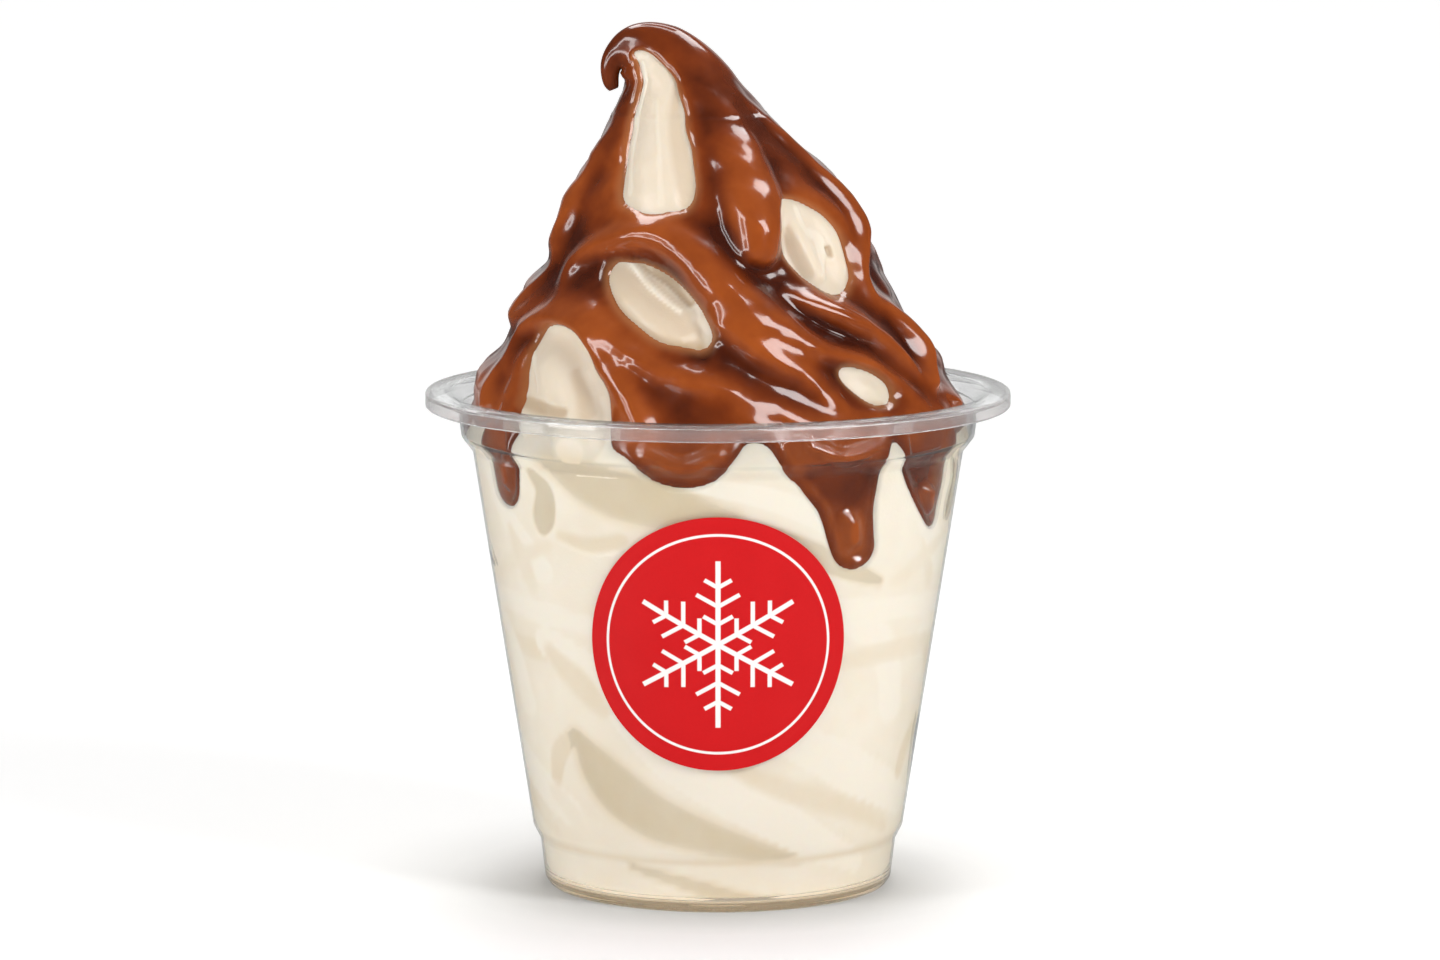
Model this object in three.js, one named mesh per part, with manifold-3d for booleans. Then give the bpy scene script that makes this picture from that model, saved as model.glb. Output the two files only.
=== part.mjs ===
// A clear plastic cup filled with a swirl of soft-serve ice cream under thick chocolate
// hazelnut sauce, with a round sticker on its front.
//
// Millimetres, +Z up, origin under the middle of the foot. Azimuth 0 looks to the front (-Y)
// and grows towards +X. A station is a height in the cup and up the body of the swirl, and
// from there on a distance along the curl at its tip.

import * as THREE from 'three';
import { ParametricGeometry } from 'three/addons/geometries/ParametricGeometry.js';
import { mergeVertices } from 'three/addons/utils/BufferGeometryUtils.js';
import Module from 'manifold-3d';

// ---- The cup ------------------------------------------------------------------------------

const RIM_HEIGHT = 81;
const RIM_RADIUS = 47.5;
const RIM_LIP = 0.6;
const RIM_DROP = 2.7;
const WALL = 0.5;
const WALL_FOOT_HEIGHT = 9.6;
const WALL_FOOT_RADIUS = 30.25;
const WALL_TOP_HEIGHT = 71.2;
const WALL_TOP_RADIUS = 39.86;
const COLLAR_RADIUS = 41.7;
const COLLAR_TOP_RADIUS = 42.3;
const FOOT_RADIUS = 27.4;
const FOOT_RING_RADIUS = 29.05;
const FOOT_RING_HEIGHT = 7.3;
const FLOOR_UNDERSIDE = 1.3;
const CUP_SIDES = 48;

// The inside of the cup, from its floor up: radius and height.
const INSIDE = [
  [27.0, FLOOR_UNDERSIDE + WALL],
  [27.9, 2.6],
  [FOOT_RING_RADIUS - WALL, 7.6],
  [WALL_FOOT_RADIUS - WALL, 9.8],
  [WALL_TOP_RADIUS - WALL, WALL_TOP_HEIGHT + 0.5],
  [COLLAR_RADIUS - WALL, 73.9],
  [COLLAR_TOP_RADIUS - WALL, 78.9],
  [44.0, RIM_HEIGHT],
];

// ---- The sticker --------------------------------------------------------------------------

const LABEL_RADIUS = 21;
const LABEL_HEIGHT = 44.8;
const LABEL_THICKNESS = 0.35;
const LABEL_SIDES = 28;
const LABEL_RINGS = [0, 7, 14, LABEL_RADIUS];

// ---- The swirl ----------------------------------------------------------------------------

const GAP = 0.3;
const SAUCE_THICKNESS = 2.2;
const SAUCE_SHARE = 0.42;
const SAUCE_EDGE_SLOPE = 1.2;
const SAUCE_EDGE = 76.9;
const ROPE_BLEND = 2;
const LOBE_BLEND = 0.8;
const WALL_BLEND = 0.8;
const DRIP_BLEND = 2;
const WINDOW_BLEND = 1.8;
const ROPE_ROUNDNESS = 2.4;
const EVENING_REACH = 1.8;
const ROPE_FADE_START = 126;
const ROPE_FADE_LENGTH = 9;
const CURL_FLATNESS = 0.25;
const CURL_START = 128;
const CURL_SPAN = 12;
const CURL_END = 153.4;
const TIP_ROUNDING = 1.3;
const ICE_TOP = 145.5;
const ICE_ROUNDING = 3;

// The swirl without its ropes: station, centre x, centre z, radius, and the tilt of the
// section in degrees.
const SECTIONS = [
  [60, 0, 60, 46, 0],
  [79, 0, 79, 38, 0],
  [86, -0.6, 86, 34, 0],
  [94, -1, 94, 29.4, 0],
  [103, -1, 103, 24.4, 0],
  [109, -1, 109, 22.2, 0],
  [113, -1.4, 113, 20.3, 0],
  [118, -2.5, 118, 16.6, 0],
  [123, -3.9, 123, 13, 0],
  [127, -4.9, 127, 10, 0],
  [131.5, -6.1, 131.3, 8.3, 3],
  [133.4, -7.2, 132.8, 7.7, 9],
  [135.9, -9, 134.6, 6.6, 20],
  [138.4, -10.9, 135.9, 5.4, 36],
  [140.7, -12.9, 136.5, 4.2, 55],
  [142.7, -14.5, 136.4, 3.3, 74],
  [144.6, -15.7, 135.8, 2.5, 94],
  [146.4, -16.6, 134.9, 1.7, 116],
  [148.2, -17.2, 133.8, 1.25, 141],
  [149.6, -17.4, 132.8, 1, 162],
  [151, -17.4, 131.6, 0.8, 178],
  [152.2, -17.2, 130.5, 0.65, 192],
  [CURL_END, -16.8, 129.6, 0.5, 202],
];

// Ropes of ice cream under the sauce: azimuth, station, half width and height of each bend.
const ROPES = [
  // from the crest down to the big bulge in front, and the hollow beside it
  [[42, 136.5, 2.4, 0.8], [33, 129.5, 4.2, 2], [26, 123, 5.6, 3.4], [21, 117, 6.2, 5],
    [17, 111.5, 6, 6.6], [16, 106.5, 4.8, 6]],
  [[12, 128, 2.6, 0.8], [6, 120, 4, 1.4], [3, 112, 4.6, 2], [5, 106.5, 4, 2.2]],
  // over the right shoulder, and the brow under it
  [[64, 130.5, 1.9, 0.8], [68, 124.5, 3.1, 3], [71, 119, 3.4, 2.8], [74, 113.5, 3.5, 4],
    [71, 107, 3.1, 4.2], [62, 101, 2.4, 3], [61, 96.5, 1.9, 2]],
  [[43, 114.5, 1, 1], [54, 113.5, 1.3, 1.8], [62, 109.5, 1.5, 2.2], [62, 104, 1.4, 1.6]],
  // from under the bulge down to the right
  [[18, 101, 1.6, 1.5], [29, 98.5, 2.6, 3.8], [40, 96, 3.2, 4.8], [50, 93, 3.2, 5],
    [58, 88.5, 2.9, 4.4], [65, 83.5, 2.1, 2.8]],
  // the bulge on the right flank and the foot below it
  [[58, 98.5, 1.9, 1.8], [69, 94.5, 3.1, 4.2], [73, 89.5, 3.4, 5], [68, 84.5, 3, 4]],
  [[69, 83, 1.6, 1.2], [78, 80.5, 2, 2.6], [85, 78, 1.6, 2]],
  // the widest rope, from the left flank across the front to the right rim, and its belly
  [[-56, 97, 1.9, 1.4], [-58, 103, 2.4, 2.8], [-42, 107, 2.9, 3.8], [-23, 108.5, 3.3, 4.4],
    [-6, 105.5, 4.9, 5.2], [7, 99, 5.8, 6.2], [19, 94.5, 4.7, 5.8], [28, 91.5, 3.4, 5],
    [37, 89.8, 2.3, 4.2], [46, 87.8, 2.1, 3.8], [53, 84, 2, 3], [60, 80, 1.6, 1.8]],
  [[4, 96, 4, 4.6], [15, 91.5, 4.8, 5], [24, 87.5, 3.6, 4], [30, 83.5, 2.4, 2.4]],
  // the rope below it, and the low one in the middle
  [[-61, 97.5, 2.2, 2], [-43, 96.5, 2.8, 3.2], [-26, 91.5, 3.6, 3.8], [-13, 88, 3.4, 3.8],
    [0, 86, 3.1, 3.6], [13, 83, 2.7, 3], [24, 80, 2.2, 2]],
  [[-6, 85.5, 1.4, 1], [4, 82.5, 2.3, 2.2], [13, 79.5, 2, 1.6]],
  // the arch over the bare ice cream at the left
  [[-67, 85.5, 1.5, 1.6], [-71, 91, 2, 3], [-58, 94.8, 2.4, 3.8], [-41, 93.6, 2.7, 4],
    [-29, 88.5, 2.9, 4], [-21, 83.5, 3, 4], [-17, 79, 3, 3]],
  // the left flank
  [[-70, 104.5, 1.6, 1.4], [-76, 99.5, 2.4, 3], [-86, 94.5, 2.8, 4.4], [-64, 93.5, 1.9, 1.6]],
  [[-66, 127, 2.2, 0.8], [-73, 119, 4, 2.4], [-76, 111.5, 4.8, 3.8], [-74, 105.5, 3.8, 3.2],
    [-69, 102.5, 2.4, 2]],
  [[-70, 89.5, 1.9, 2.2], [-74, 84.5, 2.6, 3], [-72, 80, 2.7, 2.8]],
  [[-62, 88.5, 1.6, 1.6], [-61, 84, 2.1, 2.2], [-58, 78.5, 2.4, 2]],
  // round the back, from the right flank to the left one
  [[62, 124, 2.6, 1], [92, 118.5, 3.6, 1.8], [125, 113, 5, 4], [165, 109, 5.4, 4.4],
    [205, 108.5, 5, 4.2], [245, 107, 4.6, 3.6], [280, 105.5, 3.6, 2.8], [300, 104, 2.6, 1.5]],
  [[70, 107, 2.4, 1], [94, 103, 3.8, 2.2], [130, 97.5, 5.2, 4.2], [170, 95, 5.4, 4.6],
    [210, 97.5, 5, 4.2], [250, 98, 4.6, 3.6], [285, 96.5, 3.6, 2.4], [300, 95.5, 2.6, 1.2]],
  [[76, 88, 2.6, 1.6], [100, 86, 4.6, 3.4], [135, 84.5, 5, 4], [170, 83, 5, 4],
    [205, 84, 5, 4], [245, 84.5, 4.8, 3.8], [272, 83, 4.2, 3.4], [290, 82, 3, 2]],
  [[75, 131, 2, 0.6], [110, 127, 3.6, 2.2], [150, 122, 4.4, 3.2], [195, 119, 4.6, 3.4],
    [240, 117, 4.2, 2.8], [285, 115, 3, 1.6]],
];

// Lobes of bare ice cream that swell out in the windows of the sauce.
const LOBES = [
  [[-26, 133, 3.2, 0.8], [-26, 125.5, 5.4, 2], [-25, 119, 7.4, 3.2], [-24, 115, 7.8, 3.4]],
  [[34, 112, 1.6, 2], [35, 107, 3.2, 3.4], [39, 102, 3, 3.4]],
  [[50, 111, 1.6, 1.6], [53, 106, 3.6, 3.2], [52, 101, 3.2, 3]],
  [[-36, 100.5, 2.2, 2.4], [-22, 96.5, 4.2, 4], [-9, 92.5, 3.4, 3.2]],
  [[-56, 90, 3, 2], [-48, 87, 5, 3.8], [-40, 82.5, 5.6, 4], [-34, 77, 6, 4]],
  [[-58, 81.5, 2.4, 2.2], [-50, 79, 3.2, 3]],
  [[38, 86.2, 2, 1.8], [42, 84.7, 2.8, 2.6], [46, 83.4, 2.2, 2]],
  [[118, 105.5, 2, 1.4], [135, 104.5, 3.2, 2.4], [152, 102.8, 2, 1.2]],
  [[186, 102.5, 2, 1.2], [212, 103.5, 3.2, 2.4], [232, 102.8, 2, 1.2]],
  [[120, 92, 2, 1.2], [140, 90.5, 3.4, 2.4], [158, 89.2, 2, 1.2]],
  [[226, 92.5, 2, 1.2], [245, 93, 3.2, 2.4], [262, 92.4, 2, 1.2]],
  [[165, 134, 2, 0.8], [185, 128, 4.2, 2], [196, 125, 3.2, 1.6]],
];

// Windows in the sauce: azimuth, station and half width.
const WINDOWS = [
  [[-13, 140, 0.9], [-17, 137.5, 2.1], [-26, 131, 3.9], [-26, 124, 5.6], [-25, 117.6, 6.7]],
  [[-35, 114.8, 3], [-24, 114.6, 3], [-13, 114.5, 3]],
  [[34, 113.2, 1], [38, 109.5, 4.4], [43, 105.6, 6.7], [46, 103, 5.5]],
  [[-35, 102, 2.2], [-25, 99.8, 4.2], [-13, 96.2, 4.6], [-4, 93, 2.6]],
  [[-53, 89.7, 4.4], [-47, 87.2, 7.2], [-43, 83.5, 8], [-39, 79.5, 8.8], [-38, 75.5, 9.4]],
  [[38, 86.1, 2.1], [42, 84.6, 2.9], [46, 83.3, 2.3]],
  [[118, 105.5, 1.5], [135, 104.5, 2.4], [152, 102.8, 1.4]],
  [[186, 102.5, 1.4], [212, 103.5, 2.4], [232, 102.8, 1.2]],
  [[120, 92, 1.4], [140, 90.5, 2.6], [158, 89.2, 1.6]],
  [[226, 92.5, 1.4], [245, 93, 2.4], [262, 92.4, 1.4]],
  [[165, 134, 1.2], [185, 128, 3.2], [196, 125, 2.4]],
];

// Drips of sauce down the inside of the cup: azimuth, station and half width.
const DRIPS = [
  [[-60, 78, 4.8], [-60, 72, 4.6], [-60.5, 68, 4]],
  [[-15, 77.5, 5], [-8, 75.6, 6.4], [-1, 78, 5]],
  [[27, 80, 12], [29, 74.5, 8.6], [32, 67, 5.2], [35, 59.5, 4.1]],
  [[57, 79, 9], [58, 73, 7], [61.5, 66.5, 4], [64, 62.5, 2]],
  [[112, 79, 5.5], [114, 70, 3.6], [114, 66.5, 3]],
  [[150, 80, 7], [152, 75, 4.2], [153, 73, 3.4]],
  [[196, 79, 6.5], [198, 66, 4], [199, 59, 3.5]],
  [[262, 79, 6], [262, 73, 4.2], [262, 71, 3.4]],
];

// ---- Columns and rows of the swirl's surface ----------------------------------------------

const FRONT_ANGLE = 80;
const FRONT_STEP = 5;
const BACK_START = 90;
const BACK_STEP = 12;
const ICE_ROWS_IN_CUP = [2.1, 2.6, 7.6, 9.8, 30];
const SAUCE_FOOT = 54;
const DRIP_ROWS = [SAUCE_FOOT, 56.3, 58.6, 61.5, 64.5, 67.5, 69.8, 71.7, 73.9, 76.2, 78.9];
const BODY_ROW_STEP = 2.7;
const BODY_TOP = 129;
const CURL_ROWS = [131.2, 133.4, 135.4, 137.3, 139.2, 141.25, 142.9];
const ICE_TIP_ROWS = [144.3, 145.2];
const SAUCE_TIP_ROWS = [144.6, 146.4, 148, 149.6, 151, 152.2, 153];

// ---- Smooth steps, joins and curves -------------------------------------------------------

const clamp = THREE.MathUtils.clamp;
const radians = THREE.MathUtils.degToRad;
const easeInOut = (start, span, x) => THREE.MathUtils.smoothstep(x, start, start + span);

function largerOf(a, b, blend) {
  const overlap = Math.max(blend - Math.abs(a - b), 0);
  return Math.max(a, b) + overlap ** 2 / (4 * blend);
}

function smallerOf(a, b, blend) {
  return -largerOf(-a, -b, blend);
}

// A smooth curve through one column of a table whose first column ascends.
function alongTable(table, column, x) {
  const last = table.length - 1;
  const at = clamp(x, table[0][0], table[last][0]);
  let i = 0;
  while (i < last - 1 && at >= table[i + 1][0]) i += 1;
  const slope = (k) => {
    const before = table[Math.max(k - 1, 0)];
    const after = table[Math.min(k + 1, last)];
    return (after[column] - before[column]) / (after[0] - before[0]);
  };
  const span = table[i + 1][0] - table[i][0];
  const t = (at - table[i][0]) / span;
  const rise = table[i + 1][column] - table[i][column];
  return table[i][column] + rise * t * t * (3 - 2 * t)
    + span * t * (1 - t) * ((1 - t) * slope(i) - t * slope(i + 1));
}

function insideRadius(height) {
  let i = 0;
  while (i < INSIDE.length - 2 && height > INSIDE[i + 1][1]) i += 1;
  const [lowRadius, low] = INSIDE[i];
  const [highRadius, high] = INSIDE[i + 1];
  return THREE.MathUtils.mapLinear(height, low, high, lowRadius, highRadius);
}

// ---- Strokes: ropes, lobes, windows and drips ---------------------------------------------

const STROKE_STEPS = 6;
const STATION_STRETCH = 1.15;
const SMALLEST_RADIUS = 1.2;

// The points of a stroke with a uniform Catmull-Rom curve drawn through them.
function drawStroke(points) {
  const bends = points.map((point) => (point.length === 4 ? point : [...point, 0]));
  const last = bends.length - 1;
  const mirrored = (end, next) => end.map((value, k) => 2 * value - next[k]);
  const padded = [mirrored(bends[0], bends[1]), ...bends, mirrored(bends[last], bends[last - 1])];
  const drawn = [];
  for (let i = 1; i <= last; i += 1) {
    const [a, b, c, d] = padded.slice(i - 1, i + 3);
    for (let step = 0; step < STROKE_STEPS; step += 1) {
      const t = step / STROKE_STEPS;
      drawn.push(b.map((value, k) => value + 0.5 * t * (c[k] - a[k]
        + t * (2 * a[k] - 5 * b[k] + 4 * c[k] - d[k] + t * (3 * (b[k] - c[k]) + d[k] - a[k])))));
    }
  }
  drawn.push(bends[last]);
  return drawn;
}

const DRAWN = {
  ropes: ROPES.map(drawStroke),
  lobes: LOBES.map(drawStroke),
  windows: WINDOWS.map(drawStroke),
  drips: DRIPS.map(drawStroke),
};

// The distance from a stroke in half widths, with the half width and height where it is nearest.
function nearest(stroke, azimuth, station) {
  const bare = Math.max(bodyRadius(station) + SAUCE_THICKNESS, SMALLEST_RADIUS);
  const radius = Math.min(bare, insideRadius(Math.min(station, RIM_HEIGHT)));
  let best = { away: 9, width: 1, height: 0 };
  for (let i = 1; i < stroke.length; i += 1) {
    const from = stroke[i - 1];
    const to = stroke[i];
    const turn = THREE.MathUtils.euclideanModulo(azimuth - from[0] + 180, 360) - 180;
    const across = radians(turn) * radius;
    const along = (station - from[1]) * STATION_STRETCH;
    const stepAcross = radians(to[0] - from[0]) * radius;
    const stepAlong = (to[1] - from[1]) * STATION_STRETCH;
    const length = stepAcross ** 2 + stepAlong ** 2;
    const t = clamp((across * stepAcross + along * stepAlong) / length, 0, 1);
    const width = THREE.MathUtils.lerp(from[2], to[2], t);
    const away = Math.hypot(across - t * stepAcross, along - t * stepAlong) / width;
    if (away < best.away) best = { away, width, height: THREE.MathUtils.lerp(from[3], to[3], t) };
  }
  return best;
}

function humpOf(stroke, azimuth, station) {
  const { away, height } = nearest(stroke, azimuth, station);
  return height * (1 - Math.min(away, 3) ** ROPE_ROUNDNESS);
}

// ---- The surfaces of ice cream and sauce --------------------------------------------------

function bodyRadius(station) {
  const left = clamp((CURL_END - station) / TIP_ROUNDING, 0, 1);
  return alongTable(SECTIONS, 3, station) * Math.sqrt(left * (2 - left));
}

// How far a place is inside the outline of the sauce, or outside it where this is negative.
function coverage(azimuth, station) {
  const wave = 0.9 * Math.sin(radians(3 * azimuth) + 0.6) + 0.6 * Math.sin(radians(7 * azimuth) + 2);
  let cover = station - SAUCE_EDGE - wave;
  for (const drip of DRAWN.drips) {
    const { away, width } = nearest(drip, azimuth, station);
    cover = largerOf(cover, (1 - away) * width, DRIP_BLEND);
  }
  for (const window of DRAWN.windows) {
    const { away, width } = nearest(window, azimuth, station);
    cover = smallerOf(cover, (away - 1) * width, WINDOW_BLEND);
  }
  return cover;
}

// How far the ropes rise over the body, evened over a small patch round the place.
function ropeRise(azimuth, station) {
  const turn = THREE.MathUtils.radToDeg(EVENING_REACH / bodyRadius(station));
  const patch = [
    [azimuth, station],
    [azimuth - turn, station],
    [azimuth + turn, station],
    [azimuth, station - EVENING_REACH],
    [azimuth, station + EVENING_REACH],
  ];
  let total = 0;
  for (const [across, along] of patch) {
    let rise = 0;
    for (const rope of DRAWN.ropes) rise = largerOf(rise, humpOf(rope, across, along), ROPE_BLEND);
    total += rise;
  }
  return total / patch.length;
}

function radiiAt(azimuth, station) {
  const body = bodyRadius(station);
  const full = Math.min(SAUCE_THICKNESS, SAUCE_SHARE * body);
  const fade = 1 - easeInOut(ROPE_FADE_START, ROPE_FADE_LENGTH, station);
  const rise = fade > 0 ? ropeRise(azimuth, station) : 0;
  let bare = body + rise * fade - full;
  for (const lobe of DRAWN.lobes) {
    bare = largerOf(bare, body - full + humpOf(lobe, azimuth, station), LOBE_BLEND);
  }
  const wall = station < RIM_HEIGHT ? insideRadius(station) - GAP : Infinity;
  const cover = coverage(azimuth, station);
  const layer = clamp(cover * SAUCE_EDGE_SLOPE, -SAUCE_EDGE_SLOPE, full);
  const sauce = smallerOf(bare + layer, wall, WALL_BLEND);
  const past = clamp((station - ICE_TOP + ICE_ROUNDING) / ICE_ROUNDING, 0, 1);
  const ice = Math.min(smallerOf(bare, wall, WALL_BLEND), sauce - layer);
  return { ice: ice * Math.sqrt(1 - past ** 2), sauce };
}

function surfacePoint(azimuth, station, radius, target) {
  const centred = station < SECTIONS[1][0];
  const x = centred ? 0 : alongTable(SECTIONS, 1, station);
  const z = centred ? station : alongTable(SECTIONS, 2, station);
  const tilt = radians(alongTable(SECTIONS, 4, station));
  const sideways = radius * Math.sin(radians(azimuth));
  const flat = 1 - CURL_FLATNESS * easeInOut(CURL_START, CURL_SPAN, station);
  const forwards = radius * Math.cos(radians(azimuth)) * flat;
  target.set(x + sideways * Math.cos(tilt), -forwards, z + sideways * Math.sin(tilt));
}

// ---- Closed meshes ------------------------------------------------------------------------

// Joins the vertices that meet and drops the triangles that have shrunk to a line.
function sealed(geometry) {
  geometry.deleteAttribute('normal');
  geometry.deleteAttribute('uv');
  const merged = mergeVertices(geometry, 1e-4);
  const corners = merged.getIndex().array;
  const kept = [];
  for (let i = 0; i < corners.length; i += 3) {
    const [a, b, c] = corners.slice(i, i + 3);
    if (a !== b && b !== c && c !== a) kept.push(a, b, c);
  }
  merged.setIndex(kept);
  return merged;
}

function columns() {
  const angles = [];
  for (let angle = -FRONT_ANGLE; angle <= FRONT_ANGLE; angle += FRONT_STEP) angles.push(angle);
  const backEnd = 360 - BACK_START;
  for (let angle = BACK_START; angle <= backEnd; angle += BACK_STEP) angles.push(angle);
  return angles;
}

function bodyRows() {
  const rows = [];
  for (let row = RIM_HEIGHT; row < BODY_TOP; row += BODY_ROW_STEP) rows.push(row);
  return rows;
}

// A closed body through the rows, which is drawn together to a point under the first row and
// at the tip.
function swirlSolid(rows, tip, radiusAt) {
  const angles = columns();
  const lastRow = rows.length + 1;
  const place = (u, v, target) => {
    const angle = angles[Math.round(u * angles.length) % angles.length];
    const row = Math.round(v * lastRow);
    if (row === 0) surfacePoint(angle, rows[0], 0, target);
    else if (row === lastRow) surfacePoint(angle, tip, 0, target);
    else surfacePoint(angle, rows[row - 1], radiusAt(angle, rows[row - 1]), target);
  };
  return sealed(new ParametricGeometry(place, angles.length, lastRow));
}

const wasm = await Module();
wasm.setup();

function toManifold(geometry) {
  return new wasm.Manifold(new wasm.Mesh({
    numProp: 3,
    vertProperties: new Float32Array(geometry.getAttribute('position').array),
    triVerts: new Uint32Array(geometry.getIndex().array),
  }));
}

function fromManifold(solid) {
  const mesh = solid.getMesh();
  const geometry = new THREE.BufferGeometry();
  geometry.setAttribute('position', new THREE.BufferAttribute(mesh.vertProperties, 3));
  geometry.setIndex(new THREE.BufferAttribute(mesh.triVerts, 1));
  return geometry;
}

// ---- Pieces -------------------------------------------------------------------------------

function makeCup() {
  const underside = RIM_HEIGHT - RIM_LIP;
  const skirt = RIM_RADIUS - RIM_LIP;
  const outside = [
    [0, FLOOR_UNDERSIDE],
    [24.6, FLOOR_UNDERSIDE],
    [26, 0],
    [FOOT_RADIUS, 0],
    [28.3, 1],
    [FOOT_RING_RADIUS, FOOT_RING_HEIGHT],
    [WALL_FOOT_RADIUS, WALL_FOOT_HEIGHT],
    [WALL_TOP_RADIUS, WALL_TOP_HEIGHT],
    [COLLAR_RADIUS, 73.6],
    [COLLAR_TOP_RADIUS, 78.4],
    [44.2, underside],
    [skirt, underside],
    [skirt, RIM_HEIGHT - RIM_DROP],
    [RIM_RADIUS, RIM_HEIGHT - RIM_DROP],
    [RIM_RADIUS, underside],
    [skirt, RIM_HEIGHT],
  ];
  const back = [...INSIDE].reverse();
  const profile = [...outside, ...back, [0, FLOOR_UNDERSIDE + WALL]];
  const points = profile.map(([radius, height]) => new THREE.Vector2(radius, height));
  return sealed(new THREE.LatheGeometry(points, CUP_SIDES).rotateX(Math.PI / 2));
}

function makeIceCream() {
  const rows = [...ICE_ROWS_IN_CUP, ...DRIP_ROWS, ...bodyRows(), ...CURL_ROWS, ...ICE_TIP_ROWS];
  return swirlSolid(rows, ICE_TOP, (angle, row) => radiiAt(angle, row).ice);
}

// The sauce is what its outer surface holds beyond the ice cream and a gap around it.
function makeSauce() {
  const rows = [...DRIP_ROWS, ...bodyRows(), ...CURL_ROWS];
  const outer = swirlSolid([...rows, ...SAUCE_TIP_ROWS], CURL_END,
    (angle, row) => radiiAt(angle, row).sauce);
  const below = [SAUCE_FOOT - 2, ...rows, ...ICE_TIP_ROWS];
  const core = swirlSolid(below, ICE_TOP, (angle, row) => radiiAt(angle, row).ice + GAP);
  const pieces = toManifold(outer).subtract(toManifold(core)).decompose();
  pieces.sort((a, b) => b.volume() - a.volume());
  return fromManifold(pieces[0]);
}

// A flat disc, bent round the wall of the cup.
function makeLabel() {
  const back = LABEL_RINGS.map((radius) => new THREE.Vector2(radius, 0));
  const front = LABEL_RINGS.map((radius) => new THREE.Vector2(radius, LABEL_THICKNESS)).reverse();
  const disc = new THREE.LatheGeometry([...back, ...front], LABEL_SIDES);
  const draft = (WALL_TOP_RADIUS - WALL_FOOT_RADIUS) / (WALL_TOP_HEIGHT - WALL_FOOT_HEIGHT);
  const places = disc.getAttribute('position');
  for (let i = 0; i < places.count; i += 1) {
    const height = LABEL_HEIGHT - places.getZ(i);
    const wall = WALL_FOOT_RADIUS + draft * (height - WALL_FOOT_HEIGHT);
    const angle = places.getX(i) / wall;
    const radius = wall + GAP + places.getY(i);
    places.setXYZ(i, radius * Math.sin(angle), -radius * Math.cos(angle), height);
  }
  return sealed(disc);
}

// ---- The object ---------------------------------------------------------------------------

function addPiece(group, name, geometry, look) {
  const mesh = new THREE.Mesh(geometry, new THREE.MeshStandardMaterial(look));
  mesh.name = name;
  group.add(mesh);
}

const dessert = new THREE.Group();
addPiece(dessert, 'cup', makeCup(), {
  color: 0xeef2f4, roughness: 0.05, metalness: 0, transparent: true, opacity: 0.3,
});
addPiece(dessert, 'ice_cream', makeIceCream(), { color: 0xf3ebdd, roughness: 0.5, metalness: 0 });
addPiece(dessert, 'chocolate_sauce', makeSauce(), { color: 0x93461d, roughness: 0.15, metalness: 0 });
addPiece(dessert, 'label', makeLabel(), { color: 0xdb1f26, roughness: 0.4, metalness: 0 });

export default dessert;
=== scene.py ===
import math

import bmesh
import bpy
import numpy as np
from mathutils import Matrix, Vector


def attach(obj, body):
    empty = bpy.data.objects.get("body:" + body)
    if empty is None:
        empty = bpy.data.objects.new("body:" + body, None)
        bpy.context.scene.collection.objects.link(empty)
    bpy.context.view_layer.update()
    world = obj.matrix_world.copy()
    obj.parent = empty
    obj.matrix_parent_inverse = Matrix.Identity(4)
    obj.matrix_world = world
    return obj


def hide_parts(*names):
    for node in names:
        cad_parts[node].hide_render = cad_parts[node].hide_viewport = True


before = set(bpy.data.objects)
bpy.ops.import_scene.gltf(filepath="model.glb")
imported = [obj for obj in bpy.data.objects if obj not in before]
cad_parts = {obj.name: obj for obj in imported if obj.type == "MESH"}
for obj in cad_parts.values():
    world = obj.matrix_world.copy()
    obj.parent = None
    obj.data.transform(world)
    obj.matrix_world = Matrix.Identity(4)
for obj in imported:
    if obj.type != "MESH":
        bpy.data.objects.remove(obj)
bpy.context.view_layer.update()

# ---- The cup ------------------------------------------------------------------------------
# A clear plastic cup, drawn in one piece from half a millimetre of sheet: a foot ring, a
# tapered wall, a step out under the rim for a lid, and a rim whose edge is turned down.
# Pieces are measured in millimetres; azimuth 0 is the front (-Y) and +90 is +X.

MM = 0.001
RIM_HEIGHT = 81.0
RIM_RADIUS = 47.5
FLOOR_UNDERSIDE = 1.3
FLOOR_HEIGHT = 1.8
WALL_FOOT = (30.25, 9.6)
WALL_TOP = (39.86, 71.2)
CUP_COLUMNS = 240
CORNER_STEPS = 6
WELD_DISTANCE = 0.002

# The inside of the cup from its floor up, and the outside from the middle of the floor's
# underside to the rim: radius, height and the radius of the corner. The lines that both
# draw, a foot ring, the step out for a lid and the rim's lip, are half a millimetre apart.
INSIDE = [
    (27.0, FLOOR_HEIGHT, 0.8),
    (27.9, 2.6, 0.8),
    (28.55, 7.6, 0.4),
    (29.75, 9.8, 0.8),
    (39.36, 71.7, 0.6),
    (41.2, 73.9, 1.2),
    (41.8, 78.9, 1.6),
    (43.9, 80.98, 0.9),
]
OUTSIDE = [
    (0.0, FLOOR_UNDERSIDE, 0.0),
    (24.6, FLOOR_UNDERSIDE, 0.8),
    (26.0, 0.0, 0.4),
    (27.6, 0.0, 0.6),
    (28.3, 1.0, 0.8),
    (29.05, 7.3, 0.4),
    (*WALL_FOOT, 0.8),
    (*WALL_TOP, 0.6),
    (41.7, 73.6, 1.2),
    (42.3, 78.4, 1.6),
    (44.1, 80.42, 0.8),
    (46.95, 80.42, 0.5),
    (46.85, 78.6, 0.2),
    (47.2, 78.32, 0.2),
    (RIM_RADIUS, 78.6, 0.2),
    (RIM_RADIUS, RIM_HEIGHT, 0.75),
]


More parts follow.
